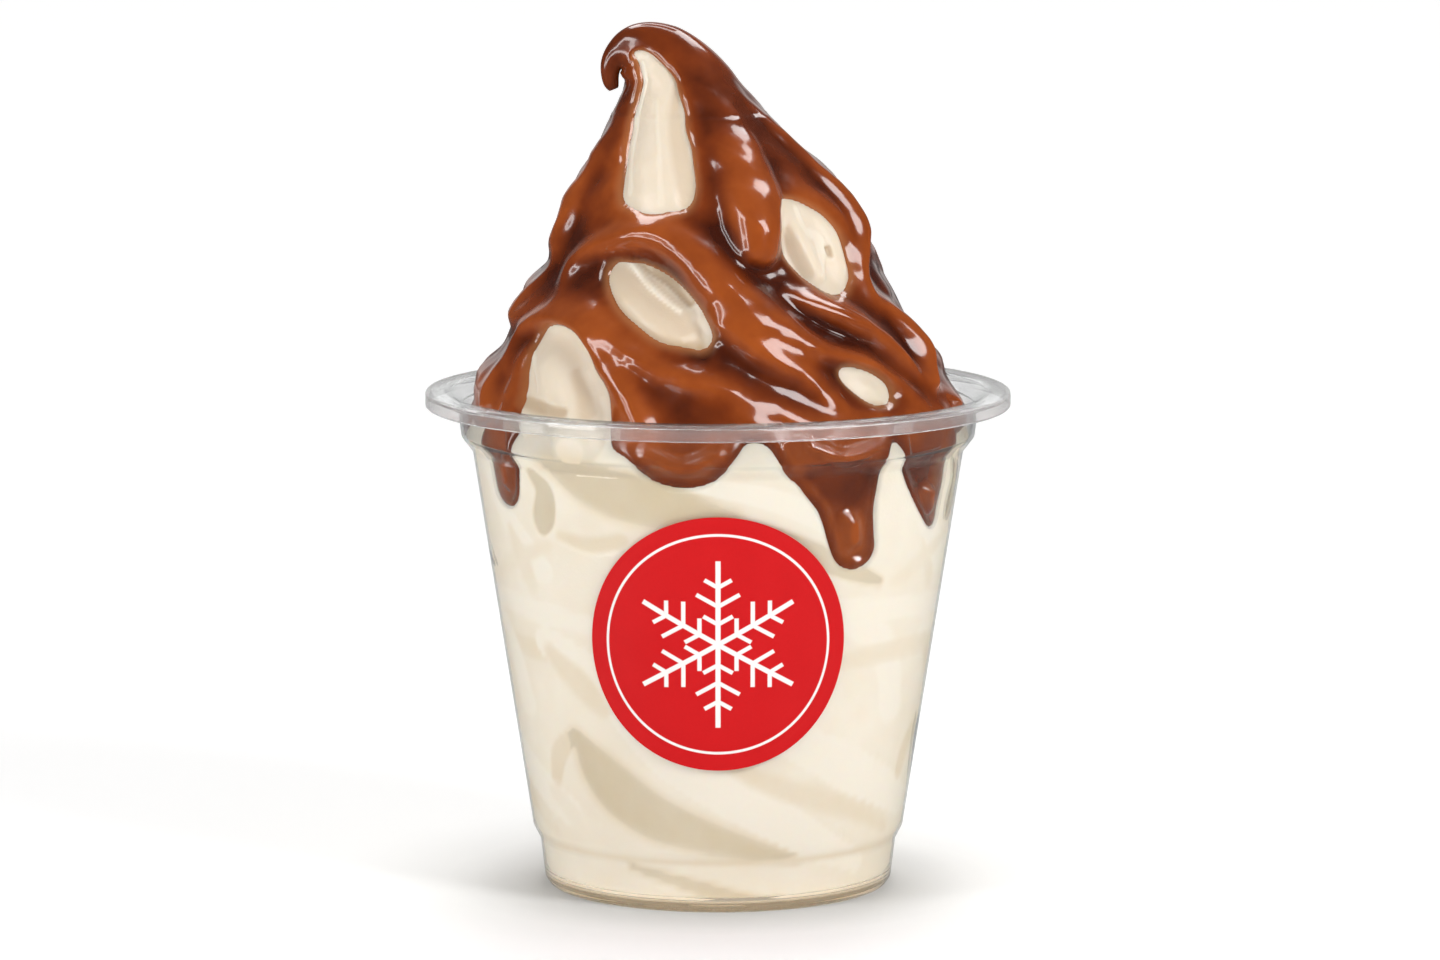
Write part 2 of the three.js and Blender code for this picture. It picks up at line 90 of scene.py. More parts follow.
def rounded(corners):
    """The outline through the corners, each one turned into a short curve."""
    outline = []
    for i, (radius, height, bend) in enumerate(corners):
        here = Vector((radius, height))
        if bend == 0.0:
            outline.append(here)
            continue
        before = Vector(corners[i - 1][:2]) - here
        after = Vector(corners[(i + 1) % len(corners)][:2]) - here
        reach = bend / math.tan(before.angle(after) / 2)
        start = here + before.normalized() * min(reach, before.length / 2)
        end = here + after.normalized() * min(reach, after.length / 2)
        for step in range(CORNER_STEPS + 1):
            t = step / CORNER_STEPS
            outline.append(start.lerp(here, t).lerp(here.lerp(end, t), t))
    return outline


def surface(name, places, keep=None, masks=None):
    """A mesh through rows of places round the object, with the named masks on its points."""
    rows, columns, _ = places.shape
    row = np.arange(rows - 1)[:, None] * columns
    column = np.arange(columns)[None, :]
    beside = (column + 1) % columns
    corners = [row + column, row + beside, row + columns + beside, row + columns + column]
    faces = np.stack(corners, axis=-1).reshape(-1, 4)
    if keep is not None:
        faces = faces[keep.reshape(-1)[faces].any(axis=1)]
    used, faces = np.unique(faces, return_inverse=True)
    faces = faces.reshape(-1, 4)
    mesh = bpy.data.meshes.new(name)
    mesh.vertices.add(len(used))
    mesh.vertices.foreach_set("co", (places.reshape(-1, 3)[used] * MM).ravel())
    mesh.loops.add(faces.size)
    mesh.loops.foreach_set("vertex_index", faces.ravel())
    mesh.polygons.add(len(faces))
    mesh.polygons.foreach_set("loop_start", np.arange(0, faces.size, 4))
    mesh.update(calc_edges=True)
    for mask, values in (masks or {}).items():
        layer = mesh.attributes.new(mask, "FLOAT", "POINT")
        layer.data.foreach_set("value", values.reshape(-1)[used])
    piece = bpy.data.objects.new(name, mesh)
    bpy.context.scene.collection.objects.link(piece)
    return piece


def weld(piece, sharp_angle):
    """Joins the points that meet, drops the faces that shrink to nothing, and shades smooth."""
    mesh = piece.data
    work = bmesh.new()
    work.from_mesh(mesh)
    bmesh.ops.remove_doubles(work, verts=work.verts, dist=WELD_DISTANCE * MM)
    bmesh.ops.dissolve_degenerate(work, edges=work.edges, dist=WELD_DISTANCE * MM)
    work.to_mesh(mesh)
    work.free()
    mesh.shade_smooth()
    mesh.set_sharp_from_angle(angle=math.radians(sharp_angle))


def around(outline, angles):
    """The places of an outline turned round the object's axis."""
    radii = np.array([point[0] for point in outline])[:, None]
    heights = np.array([point[1] for point in outline])[:, None]
    turn = np.radians(angles)[None, :]
    x = radii * np.sin(turn)
    y = -radii * np.cos(turn)
    z = np.broadcast_to(heights, x.shape)
    return np.stack([x, y, z], axis=-1)


cup_outline = rounded(OUTSIDE + INSIDE[::-1] + [(0.0, FLOOR_HEIGHT, 0.0)])
cup_angles = np.arange(CUP_COLUMNS) * 360.0 / CUP_COLUMNS
cup = surface("clear_cup", around(cup_outline, cup_angles))
weld(cup, sharp_angle=60)


def feed(tree, socket, value):
    """Gives an input its value, or links it to the output that feeds it."""
    if isinstance(value, bpy.types.NodeSocket):
        tree.links.new(value, socket)
    else:
        socket.default_value = value


def place_node(tree, kind, settings=None, **inputs):
    """A node with its settings, and each input as a value or as the output that feeds it."""
    made = tree.nodes.new(kind)
    for name, value in (settings or {}).items():
        setattr(made, name, value)
    for name, value in inputs.items():
        feed(tree, made.inputs[name.replace("_", " ")], value)
    return made


def maths(tree, operation, *values, clamped=False):
    """A Math node's result."""
    made = tree.nodes.new("ShaderNodeMath")
    made.operation = operation
    made.use_clamp = clamped
    for socket, value in zip(made.inputs, values):
        feed(tree, socket, value)
    return made.outputs[0]


def ranged(tree, value, start, end, low=0.0, high=1.0, smooth=False):
    """A value that runs from low to high while the given one runs from start to end."""
    kind = "SMOOTHSTEP" if smooth else "LINEAR"
    made = place_node(tree, "ShaderNodeMapRange", {"interpolation_type": kind}, Value=value,
                      From_Min=start, From_Max=end, To_Min=low, To_Max=high)
    return made.outputs["Result"]


def layered(tree, share, under, over):
    """Two shaders mixed, by the share of the one over."""
    made = place_node(tree, "ShaderNodeMixShader", Fac=share)
    tree.links.new(under.outputs[0], made.inputs[1])
    tree.links.new(over.outputs[0], made.inputs[2])
    return made


def distance_from(tree, place):
    """The length of a place's vector."""
    made = place_node(tree, "ShaderNodeVectorMath", {"operation": "LENGTH"})
    tree.links.new(place, made.inputs[0])
    return made.outputs["Value"]


def new_material(name):
    """A material, its node tree and its Principled BSDF."""
    made = bpy.data.materials.new(name)
    made.use_nodes = True
    tree = made.node_tree
    return made, tree, tree.nodes["Principled BSDF"]


def unevenness_group():
    """Low swells and a fine grain together, as a height between 0 and 1."""
    tree = bpy.data.node_groups.new("soft_unevenness", "ShaderNodeTree")
    face = tree.interface
    for name, usual in (("Swell Scale", 150.0), ("Grain Scale", 900.0), ("Grain Share", 0.3)):
        socket = face.new_socket(name, in_out="INPUT", socket_type="NodeSocketFloat")
        socket.default_value = usual
    face.new_socket("Height", in_out="OUTPUT", socket_type="NodeSocketFloat")
    entry = tree.nodes.new("NodeGroupInput")
    exit_node = tree.nodes.new("NodeGroupOutput")
    where = tree.nodes.new("ShaderNodeTexCoord").outputs["Object"]
    swell = place_node(tree, "ShaderNodeTexNoise", Vector=where, Detail=1.5,
                       Scale=entry.outputs["Swell Scale"])
    grain = place_node(tree, "ShaderNodeTexNoise", Vector=where, Detail=2.0,
                       Scale=entry.outputs["Grain Scale"])
    blend = place_node(tree, "ShaderNodeMix", Factor=entry.outputs["Grain Share"])
    tree.links.new(swell.outputs["Fac"], blend.inputs["A"])
    tree.links.new(grain.outputs["Fac"], blend.inputs["B"])
    tree.links.new(blend.outputs["Result"], exit_node.inputs["Height"])
    return tree


unevenness = unevenness_group()


def uneven(tree, swell, grain, share):
    """The unevenness group placed in a material."""
    made = tree.nodes.new("ShaderNodeGroup")
    made.node_tree = unevenness
    made.inputs["Swell Scale"].default_value = swell
    made.inputs["Grain Scale"].default_value = grain
    made.inputs["Grain Share"].default_value = share
    return made.outputs["Height"]


def bump(tree, height, distance, strength):
    """A Bump node's normal."""
    return place_node(tree, "ShaderNodeBump", Height=height, Distance=distance,
                      Strength=strength).outputs["Normal"]


EDGE_CLEARNESS = 0.75
RIM_CLEARNESS = 0.28
RIM_START = (43.6 * MM, 44.6 * MM)
LIP_PAINTED_HIGHLIGHT = 0.09
LIP_START = (46.6 * MM, 47.2 * MM)

clear_plastic, tree, shader = new_material("clear_plastic")
shader.inputs["Base Color"].default_value = (0.985, 0.99, 0.995, 1.0)
shader.inputs["Transmission Weight"].default_value = 1.0
shader.inputs["IOR"].default_value = 1.45
sheet_waves = uneven(tree, swell=45.0, grain=400.0, share=0.1)
haze = ranged(tree, sheet_waves, 0.0, 1.0, low=0.01, high=0.06)
tree.links.new(haze, shader.inputs["Roughness"])
waved = bump(tree, sheet_waves, distance=0.4 * MM, strength=0.12)
tree.links.new(waved, shader.inputs["Normal"])
# Light passes the thin sheet without a hard shadow, and its grazing edges stay pale.
ray = tree.nodes.new("ShaderNodeLightPath")
passing = maths(tree, "MAXIMUM", ray.outputs["Is Shadow Ray"], ray.outputs["Is Diffuse Ray"])
grazing = place_node(tree, "ShaderNodeLayerWeight", Blend=0.5).outputs["Facing"]
pale_edge = maths(tree, "MULTIPLY", maths(tree, "POWER", grazing, 2.5), EDGE_CLEARNESS)
see_through = place_node(tree, "ShaderNodeBsdfTransparent", Color=(0.93, 0.94, 0.94, 1.0))
# The rim is made more see-through than the wall, to keep it paler, and its lip has a faint
# painted white highlight.
where = tree.nodes.new("ShaderNodeTexCoord").outputs["Object"]
level = place_node(tree, "ShaderNodeVectorMath", {"operation": "MULTIPLY"})
tree.links.new(where, level.inputs[0])
level.inputs[1].default_value = (1.0, 1.0, 0.0)
from_axis = distance_from(tree, level.outputs["Vector"])
on_rim = ranged(tree, from_axis, *RIM_START, high=RIM_CLEARNESS)
on_lip = ranged(tree, from_axis, *LIP_START, high=LIP_PAINTED_HIGHLIGHT)
clearness = maths(tree, "MAXIMUM", maths(tree, "MAXIMUM", passing, pale_edge), on_rim)
# Painted highlight: a flat white mixed into the lip of the rim.
lip_highlight_white = place_node(tree, "ShaderNodeBsdfDiffuse", Color=(0.96, 0.96, 0.96, 1.0))
lip_share = maths(tree, "MULTIPLY", on_lip, maths(tree, "SUBTRACT", 1.0, passing))
plastic = layered(tree, lip_share, layered(tree, clearness, shader, see_through), lip_highlight_white)
tree.links.new(plastic.outputs["Shader"], tree.nodes["Material Output"].inputs["Surface"])
cup.data.materials.append(clear_plastic)
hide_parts("cup")
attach(cup, "root")

# ---- The ice cream ------------------------------------------------------------------------
# Vanilla soft-serve, which fills the cup to its wall and rises above the rim as a body of
# thick ropes with a curled tip. Ropes and lobes follow strokes over a tapering body.

SECTIONS = np.array([
    # station, centre x, centre z, radius, tilt in degrees
    (60, 0, 60, 46, 0),
    (79, 0, 79, 38, 0),
    (86, -0.6, 86, 34, 0),
    (94, -1, 94, 29.4, 0),
    (103, -1, 103, 24.4, 0),
    (109, -1, 109, 22.2, 0),
    (113, -1.4, 113, 20.3, 0),
    (118, -2.5, 118, 16.6, 0),
    (123, -3.9, 123, 13, 0),
    (127, -4.9, 127, 10, 0),
    (131.5, -6.1, 131.3, 8.3, 3),
    (133.4, -7.2, 132.8, 7.7, 9),
    (135.9, -9, 134.6, 6.6, 20),
    (138.4, -10.9, 135.9, 5.4, 36),
    (140.7, -12.9, 136.5, 4.2, 55),
    (142.7, -14.5, 136.4, 3.3, 74),
    (144.6, -15.7, 135.8, 2.5, 94),
    (146.4, -16.6, 134.9, 1.7, 116),
    (148.2, -17.2, 133.8, 1.25, 141),
    (149.6, -17.4, 132.8, 1, 162),
    (151, -17.4, 131.6, 0.8, 178),
    (152.2, -17.2, 130.5, 0.65, 192),
    (153.4, -16.8, 129.6, 0.5, 202),
], dtype=float)
CURL_END = 153.4

# Ropes: azimuth, station, half width and height of each bend.
ROPES = [
    # from the crest down to the big bulge in front, and the hollow beside it
    [(42, 136.5, 2.4, 0.8), (33, 129.5, 4.2, 2), (26, 123, 5.6, 3.4), (21, 117, 6.2, 5),
     (17, 111.5, 6, 6.6), (16, 106.5, 4.8, 6)],
    [(12, 128, 2.6, 0.8), (6, 120, 4, 1.4), (3, 112, 4.6, 2), (5, 106.5, 4, 2.2)],
    # over the right shoulder, and the brow under it
    [(64, 130.5, 1.9, 0.8), (68, 124.5, 3.1, 3), (71, 119, 3.4, 2.8), (74, 113.5, 3.5, 4),
     (71, 107, 3.1, 4.2), (62, 101, 2.4, 3), (61, 96.5, 1.9, 2)],
    [(43, 114.5, 1, 1), (54, 113.5, 1.3, 1.8), (62, 109.5, 1.5, 2.2), (62, 104, 1.4, 1.6)],
    # from under the bulge down to the right
    [(18, 101, 1.6, 1.5), (29, 98.5, 2.6, 3.8), (40, 96, 3.2, 4.8), (50, 93, 3.2, 5),
     (58, 88.5, 2.9, 4.4), (65, 83.5, 2.1, 2.8)],
    # the bulge on the right flank and the foot below it
    [(58, 98.5, 1.9, 1.8), (69, 94.5, 3.1, 4.2), (73, 89.5, 3.4, 5), (68, 84.5, 3, 4)],
    [(69, 83, 1.6, 1.2), (78, 80.5, 2, 2.6), (85, 78, 1.6, 2)],
    # the widest rope, from the left flank across the front to the right rim, and its belly
    [(-56, 97, 1.9, 1.4), (-58, 103, 2.4, 2.8), (-42, 107, 2.9, 3.8), (-23, 108.5, 3.3, 4.4),
     (-6, 105.5, 4.9, 5.2), (7, 99, 5.8, 6.2), (19, 94.5, 4.7, 5.8), (28, 91.5, 3.4, 5),
     (37, 89.8, 2.3, 4.2), (46, 87.8, 2.1, 3.8), (53, 84, 2, 3), (60, 80, 1.6, 1.8)],
    [(4, 96, 4, 4.6), (15, 91.5, 4.8, 5), (24, 87.5, 3.6, 4), (30, 83.5, 2.4, 2.4)],
    # the rope below it, and the low one in the middle
    [(-61, 97.5, 2.2, 2), (-43, 96.5, 2.8, 3.2), (-26, 91.5, 3.6, 3.8), (-13, 88, 3.4, 3.8),
     (0, 86, 3.1, 3.6), (13, 83, 2.7, 3), (24, 80, 2.2, 2)],
    [(-6, 85.5, 1.4, 1), (4, 82.5, 2.3, 2.2), (13, 79.5, 2, 1.6)],
    # the arch over the bare ice cream at the left
    [(-67, 85.5, 1.5, 1.6), (-71, 91, 2, 3), (-58, 94.8, 2.4, 3.8), (-41, 93.6, 2.7, 4),
     (-29, 88.5, 2.9, 4), (-21, 83.5, 3, 4), (-17, 79, 3, 3)],
    # the left flank
    [(-70, 104.5, 1.6, 1.4), (-76, 99.5, 2.4, 3), (-86, 94.5, 2.8, 4.4), (-64, 93.5, 1.9, 1.6)],
    [(-66, 127, 2.2, 0.8), (-73, 119, 4, 2.4), (-76, 111.5, 4.8, 3.8), (-74, 105.5, 3.8, 3.2),
     (-69, 102.5, 2.4, 2)],
    [(-70, 89.5, 1.9, 2.2), (-74, 84.5, 2.6, 3), (-72, 80, 2.7, 2.8)],
    [(-62, 88.5, 1.6, 1.6), (-61, 84, 2.1, 2.2), (-58, 78.5, 2.4, 2)],
    # round the back, from the right flank to the left one
    [(62, 124, 2.6, 1), (92, 118.5, 3.6, 1.8), (125, 113, 5, 4), (165, 109, 5.4, 4.4),
     (205, 108.5, 5, 4.2), (245, 107, 4.6, 3.6), (280, 105.5, 3.6, 2.8), (300, 104, 2.6, 1.5)],
    [(70, 107, 2.4, 1), (94, 103, 3.8, 2.2), (130, 97.5, 5.2, 4.2), (170, 95, 5.4, 4.6),
     (210, 97.5, 5, 4.2), (250, 98, 4.6, 3.6), (285, 96.5, 3.6, 2.4), (300, 95.5, 2.6, 1.2)],
    [(76, 88, 2.6, 1.6), (100, 86, 4.6, 3.4), (135, 84.5, 5, 4), (170, 83, 5, 4),
     (205, 84, 5, 4), (245, 84.5, 4.8, 3.8), (272, 83, 4.2, 3.4), (290, 82, 3, 2)],
    [(75, 131, 2, 0.6), (110, 127, 3.6, 2.2), (150, 122, 4.4, 3.2), (195, 119, 4.6, 3.4),
     (240, 117, 4.2, 2.8), (285, 115, 3, 1.6)],
]

# Lobes of bare ice cream that swell out in the windows of the sauce.
LOBES = [
    [(-26, 133, 3.2, 0.8), (-26, 125.5, 5.4, 2), (-25, 119, 7.4, 3.2), (-24, 115, 7.8, 3.4)],
    [(34, 112, 1.6, 2), (35, 107, 3.2, 3.4), (39, 102, 3, 3.4)],
    [(50, 111, 1.6, 1.6), (53, 106, 3.6, 3.2), (52, 101, 3.2, 3)],
    [(-36, 100.5, 2.2, 2.4), (-22, 96.5, 4.2, 4), (-9, 92.5, 3.4, 3.2)],
    [(-56, 90, 3, 2), (-48, 87, 5, 3.8), (-40, 82.5, 5.6, 4), (-34, 77, 6, 4)],
    [(-58, 81.5, 2.4, 2.2), (-50, 79, 3.2, 3)],
    [(38, 86.2, 2, 1.8), (42, 84.7, 2.8, 2.6), (46, 83.4, 2.2, 2)],
    [(118, 105.5, 2, 1.4), (135, 104.5, 3.2, 2.4), (152, 102.8, 2, 1.2)],
    [(186, 102.5, 2, 1.2), (212, 103.5, 3.2, 2.4), (232, 102.8, 2, 1.2)],
    [(120, 92, 2, 1.2), (140, 90.5, 3.4, 2.4), (158, 89.2, 2, 1.2)],
    [(226, 92.5, 2, 1.2), (245, 93, 3.2, 2.4), (262, 92.4, 2, 1.2)],
    [(165, 134, 2, 0.8), (185, 128, 4.2, 2), (196, 125, 3.2, 1.6)],
]

# Windows in the sauce, and its drips inside the cup: azimuth, station and half width.
WINDOWS = [
    [(-13, 140, 0.9), (-17, 137.5, 2.1), (-26, 131, 3.9), (-26, 124, 5.6), (-25, 117.6, 6.7)],
    [(-35, 114.8, 3), (-24, 114.6, 3), (-13, 114.5, 3)],
    [(34, 113.2, 1), (38, 109.5, 4.4), (43, 105.6, 6.7), (46, 103, 5.5)],
    [(-35, 102, 2.2), (-25, 99.8, 4.2), (-13, 96.2, 4.6), (-4, 93, 2.6)],
    [(-53, 89.7, 4.4), (-47, 87.2, 7.2), (-43, 83.5, 8), (-39, 79.5, 8.8), (-38, 75.5, 9.4)],
    [(38, 86.1, 2.1), (42, 84.6, 2.9), (46, 83.3, 2.3)],
    [(118, 105.5, 1.5), (135, 104.5, 2.4), (152, 102.8, 1.4)],
    [(186, 102.5, 1.4), (212, 103.5, 2.4), (232, 102.8, 1.2)],
    [(120, 92, 1.4), (140, 90.5, 2.6), (158, 89.2, 1.6)],
    [(226, 92.5, 1.4), (245, 93, 2.4), (262, 92.4, 1.4)],
    [(165, 134, 1.2), (185, 128, 3.2), (196, 125, 2.4)],
]
DRIPS = [
    [(-60, 78, 4.8), (-60, 72, 4.6), (-60.5, 68, 4)],
    [(-15, 77.5, 5), (-8, 75.6, 6.4), (-1, 78, 5)],
    [(27, 80, 12), (29, 74.5, 8.6), (32, 67, 5.2), (35, 59.5, 4.1)],
    [(57, 79, 9), (58, 73, 7), (61.5, 66.5, 4), (64, 62.5, 2)],
    [(112, 79, 5.5), (114, 70, 3.6), (114, 66.5, 3)],
    [(150, 80, 7), (152, 75, 4.2), (153, 73, 3.4)],
    [(196, 79, 6.5), (198, 66, 4), (199, 59, 3.5)],
    [(262, 79, 6), (262, 73, 4.2), (262, 71, 3.4)],
]

# Folds of ice cream pressed flat against the wall, each laid over the ones before it: its
# darkness, which is painted shade in the recess beside it, the softness of its edge, and its
# azimuth, height and half width.
FOLDS = [
    (0.72, 3.4, [(-43, 28, 1.5), (-34, 21.5, 4.5), (-20, 16, 4.5), (-1, 12.5, 3), (25, 8.5, 1)]),
    (0.0, 0.6, [(-51, 43, 3), (-37, 39, 4), (-26, 34.5, 4.5), (-15, 27.5, 4.5), (-4, 23, 4.5),
                (13, 17, 4), (33, 10.5, 3), (50, 6.5, 2)]),
    (0.45, 2.4, [(0, 25.5, 1), (17, 21, 2), (38, 17, 2), (62, 11.5, 0.8)]),
    (0.0, 0.6, [(18, 28.5, 2), (30, 26, 3.5), (45, 21.5, 4), (72, 15, 3)]),
    (0.15, 1.8, [(-57, 18, 1.5), (-40, 11.5, 2.5), (-20, 7.5, 2.5), (-1, 6, 3), (29, 4.5, 2.5)]),
    (0.6, 1.2, [(-28, 7, 1), (-8, 4.5, 1.5), (9, 2, 1.5), (26, 0.5, 1)]),
    (0.65, 0.7, [(-49, 71, 1), (-45, 68, 2), (-46, 64, 2.5), (-47, 62, 1.5)]),
    (0.35, 1.8, [(-61, 61, 1), (-57, 56.5, 2), (-54, 52, 1.5)]),
    (0.75, 4.0, [(-41, 73.5, 3), (-27, 69.5, 5), (-12, 67, 4.5), (2, 64.5, 2.5)]),
    (0.0, 0.7, [(-14, 72.5, 1), (-3, 70.5, 1.5), (11, 68.5, 2), (24, 65, 2), (32, 61, 1.5)]),
    (0.65, 1.2, [(8, 63.5, 1), (19, 60.5, 2), (32, 56.5, 2), (44, 53.5, 1)]),
    (0.0, 0.9, [(52, 70, 1.5), (60, 63, 2.5), (73, 55, 2.5)]),
    (0.3, 1.8, [(76, 59, 1), (62, 56, 1.8), (50, 53, 1)]),
    (0.4, 1.8, [(35, 41, 1.5), (53, 41.5, 2), (87, 41, 1.5)]),
    (0.0, 1.0, [(34, 49.5, 2), (53, 48.5, 2), (86, 47, 2)]),
    (0.5, 0.8, [(77, 28, 1.5), (70, 24.5, 2), (67, 20.5, 1.5)]),
    (0.45, 1.8, [(-50, 41.5, 1.5), (-40, 37, 2.5), (-33, 33, 1.5)]),
    (0.5, 1.4, [(-41, 61, 1), (-32, 60, 1.5), (-24, 61, 1.5)]),
    (0.0, 1.5, [(-86, 48, 2.5), (-72, 41.5, 3), (-66, 32, 3)]),
    (0.3, 1.4, [(-73, 16.5, 1), (-65, 13.5, 1.8), (-61, 11.5, 1)]),
    (0.45, 0.6, [(-70, 8.6, 0.7), (0, 8.6, 0.7), (70, 8.6, 0.7)]),
]
FOLDS_ROUND = (122.0, -122.0, 0.0)
PRESSED_DARKNESS = 0.18
FOLD_DENT = 0.45

# Painted shade and painted highlight lines on the bare ice cream in the windows, in the same way.
WINDOW_SHADES = [
    (0.5, 1.4, [(0, 134.5, 0.5), (-11, 126.5, 1.1), (-10, 119.5, 1.5), (-9, 113.5, 1.7)]),
    (0.0, 0.5, [(-26, 137.5, 0.4), (-47, 130, 0.5), (-44, 123, 0.6), (-37, 114.5, 0.7)]),
    (0.1, 0.5, [(-27, 128.5, 0.3), (-22, 121, 0.4), (-20, 113, 0.5)]),
    (0.45, 0.9, [(30, 108.5, 0.9), (32, 105, 1.2), (35, 102, 1)]),
    (0.45, 1.2, [(59, 107, 0.8), (58, 103, 1.2), (54, 100, 1)]),
    (0.0, 0.6, [(39, 112, 0.5), (40, 108.5, 0.8), (46, 107, 1), (42, 101.5, 0.8)]),
    (0.8, 0.5, [(48.5, 105.5, 0.5), (48.5, 104.5, 0.4)]),
    (0.5, 2.0, [(-36, 101, 3), (-22, 97, 4.5), (-9, 93, 3.5)]),
    (1.0, 2.4, [(-34, 97.5, 0.8), (-24, 93.5, 1.4), (-14, 91, 1.7), (-4, 90.5, 1.8)]),
    (0.75, 0.4, [(-29, 104.5, 0.7), (-23, 103.2, 1.1), (-14, 101.2, 1.1), (-7, 98.2, 0.8)]),
    (0.0, 0.4, [(-33, 104, 0.4), (-26, 101.8, 0.5), (-18, 99.3, 0.5), (-10, 96.8, 0.4)]),
    (0.5, 1.0, [(-39, 87, 0.6), (-35, 84, 1), (-32, 81, 1.2)]),
    (0.75, 0.9, [(-54, 81.6, 1), (-46, 81, 1.2), (-38, 81, 0.9)]),
    (0.0, 0.5, [(-60, 88.8, 0.4), (-57, 87.4, 0.5), (-52, 85.6, 0.4), (-50, 83.4, 0.3)]),
    (0.55, 0.7, [(33, 84, 0.5), (36, 82, 0.6), (45, 81.6, 0.6)]),
]
WINDOW_DARKNESS = 0.22
SHADE_RELIEF = 0.7

# Places where the sauce inside the cup bulges out to the wall.
BEADS = [
    [(-60.5, 68.5, 3.6), (-60.5, 71, 3.2)],
    [(-16, 75.5, 2.6), (-8, 73.2, 3.4), (0, 75.5, 2.6)],
    [(35, 60.8, 3.9), (34.4, 63.4, 3.6)],
    [(22, 76.5, 2), (30, 74.5, 2.4), (40, 76, 2)],
    [(63.5, 64, 2.2), (62.4, 66.5, 2.7)],
    [(114, 67.5, 2.8), (114, 70, 2.8)],
    [(153, 73.5, 3.2), (152, 76, 3.6)],
    [(199, 60, 3.3), (199, 62.5, 3.3)],
    [(262, 71.5, 3.2), (262, 74, 3.4)],
]

# How strokes are drawn and joined.
STROKE_STEPS = 6
STATION_STRETCH = 1.15
LEAST_RADIUS = 1.2
ROPE_ROUNDNESS = 2.4
HUMP_REACH = 3.0
ROPE_BLEND = 2.0
LOBE_BLEND = 0.8
WALL_BLEND = 0.8
DRIP_BLEND = 2.0
WINDOW_BLEND = 1.8
SOFTENING = (2, 4)

# The layer of sauce, and how the sauce and the ice cream fill the cup.
SAUCE_THICKNESS = 2.2
SAUCE_SHARE = 0.42
SAUCE_EDGE = 76.9
SAUCE_EDGE_WAVES = ((0.9, 3.0, 0.6), (0.6, 7.0, 2.0))
SAUCE_LIP = 1.9
THIN_SHARE = 0.5
THIN_REACH = 5.0
EDGE_RECESS = 0.45
GROOVE_WIDTH = 0.9
DRIP_SHOULDER = 4.0
NECK_RECESS = 1.7
NECK_START = (0.2, 3.0)
INTO_WALL = 0.15
NO_WALL = 1000.0
ICE_TOP = 145.5
ICE_ROUNDING = 3.0
ICE_FLOOR = 1.72
ICE_FLOOR_SHARE = 26.6 / 27.5

# Where each change starts along the swirl, and over what length it runs.
DENTS_END = (70.0, 8.0)
CUP_SHADES_END = (72.0, 9.0)
RIM_PASSED = (78.0, 4.0)
ROPES_END = (126.0, 9.0)
RIPPLES_END = (128.0, 10.0)
CURL_FLATTENS = (128.0, 12.0)
CURL_FLATNESS = 0.25

# Columns and rows of points, finer in front and where the sauce is.
FRONT_HALF = 82.0
FRONT_STEP = 0.42
BACK_STEP = 0.8
LOWEST_ROW = 2.2
SAUCE_ROWS_FROM = 54.0
CURL_ROWS_FROM = 126.0
CUP_ROW_STEP = 0.9
SAUCE_ROW_STEP = 0.42
CURL_ROWS = 80

front_angles = np.arange(-FRONT_HALF, FRONT_HALF, FRONT_STEP)
back_angles = np.arange(FRONT_HALF, 360.0 - FRONT_HALF, BACK_STEP)
angles = np.concatenate([front_angles, back_angles])
stations = np.concatenate([
    np.arange(LOWEST_ROW, SAUCE_ROWS_FROM, CUP_ROW_STEP),
    np.arange(SAUCE_ROWS_FROM, CURL_ROWS_FROM, SAUCE_ROW_STEP),
    np.linspace(CURL_ROWS_FROM, CURL_END, CURL_ROWS),
])
azimuth = np.broadcast_to(angles[None, :], (len(stations), len(angles)))
station = np.broadcast_to(stations[:, None], azimuth.shape)


def ease(start, span, value):
    """0 before the start and 1 after the span, with a smooth step between."""
    t = np.clip((value - start) / span, 0.0, 1.0)
    return t * t * (3.0 - 2.0 * t)


def larger(a, b, blend):
    """The larger of two values, with a rounded join where they meet."""
    return np.maximum(a, b) + np.maximum(blend - np.abs(a - b), 0.0) ** 2 / (4.0 * blend)


def smaller(a, b, blend):
    """The smaller of two values, with a rounded join where they meet."""
    return -larger(-a, -b, blend)


def along_body(column, at):
    """A smooth curve through one column of the sections."""
    keys = SECTIONS[:, 0]
    values = SECTIONS[:, column]
    at = np.clip(at, keys[0], keys[-1])
    before = np.maximum(np.arange(len(keys)) - 1, 0)
    after = np.minimum(np.arange(len(keys)) + 1, len(keys) - 1)
    slopes = (values[after] - values[before]) / (keys[after] - keys[before])
    i = np.clip(np.searchsorted(keys, at, side="right") - 1, 0, len(keys) - 2)
    span = keys[i + 1] - keys[i]
    t = (at - keys[i]) / span
    step = (values[i + 1] - values[i]) * t * t * (3.0 - 2.0 * t)
    ends = span * t * (1.0 - t) * ((1.0 - t) * slopes[i] - t * slopes[i + 1])
    return values[i] + step + ends


def body_radius(at):
    """The radius of the plain body at a station, rounded off at its tip."""
    tip_rounding = 1.3
    left = np.clip((CURL_END - at) / tip_rounding, 0.0, 1.0)
    return along_body(3, at) * np.sqrt(left * (2.0 - left))


inside_heights = [corner[1] for corner in INSIDE]
inside_radii = [corner[0] for corner in INSIDE]
wall_radius = np.interp(station, inside_heights, inside_radii) + INTO_WALL
covered_radius = np.maximum(body_radius(station) + SAUCE_THICKNESS, LEAST_RADIUS)
reach_radius = np.minimum(covered_radius, wall_radius)


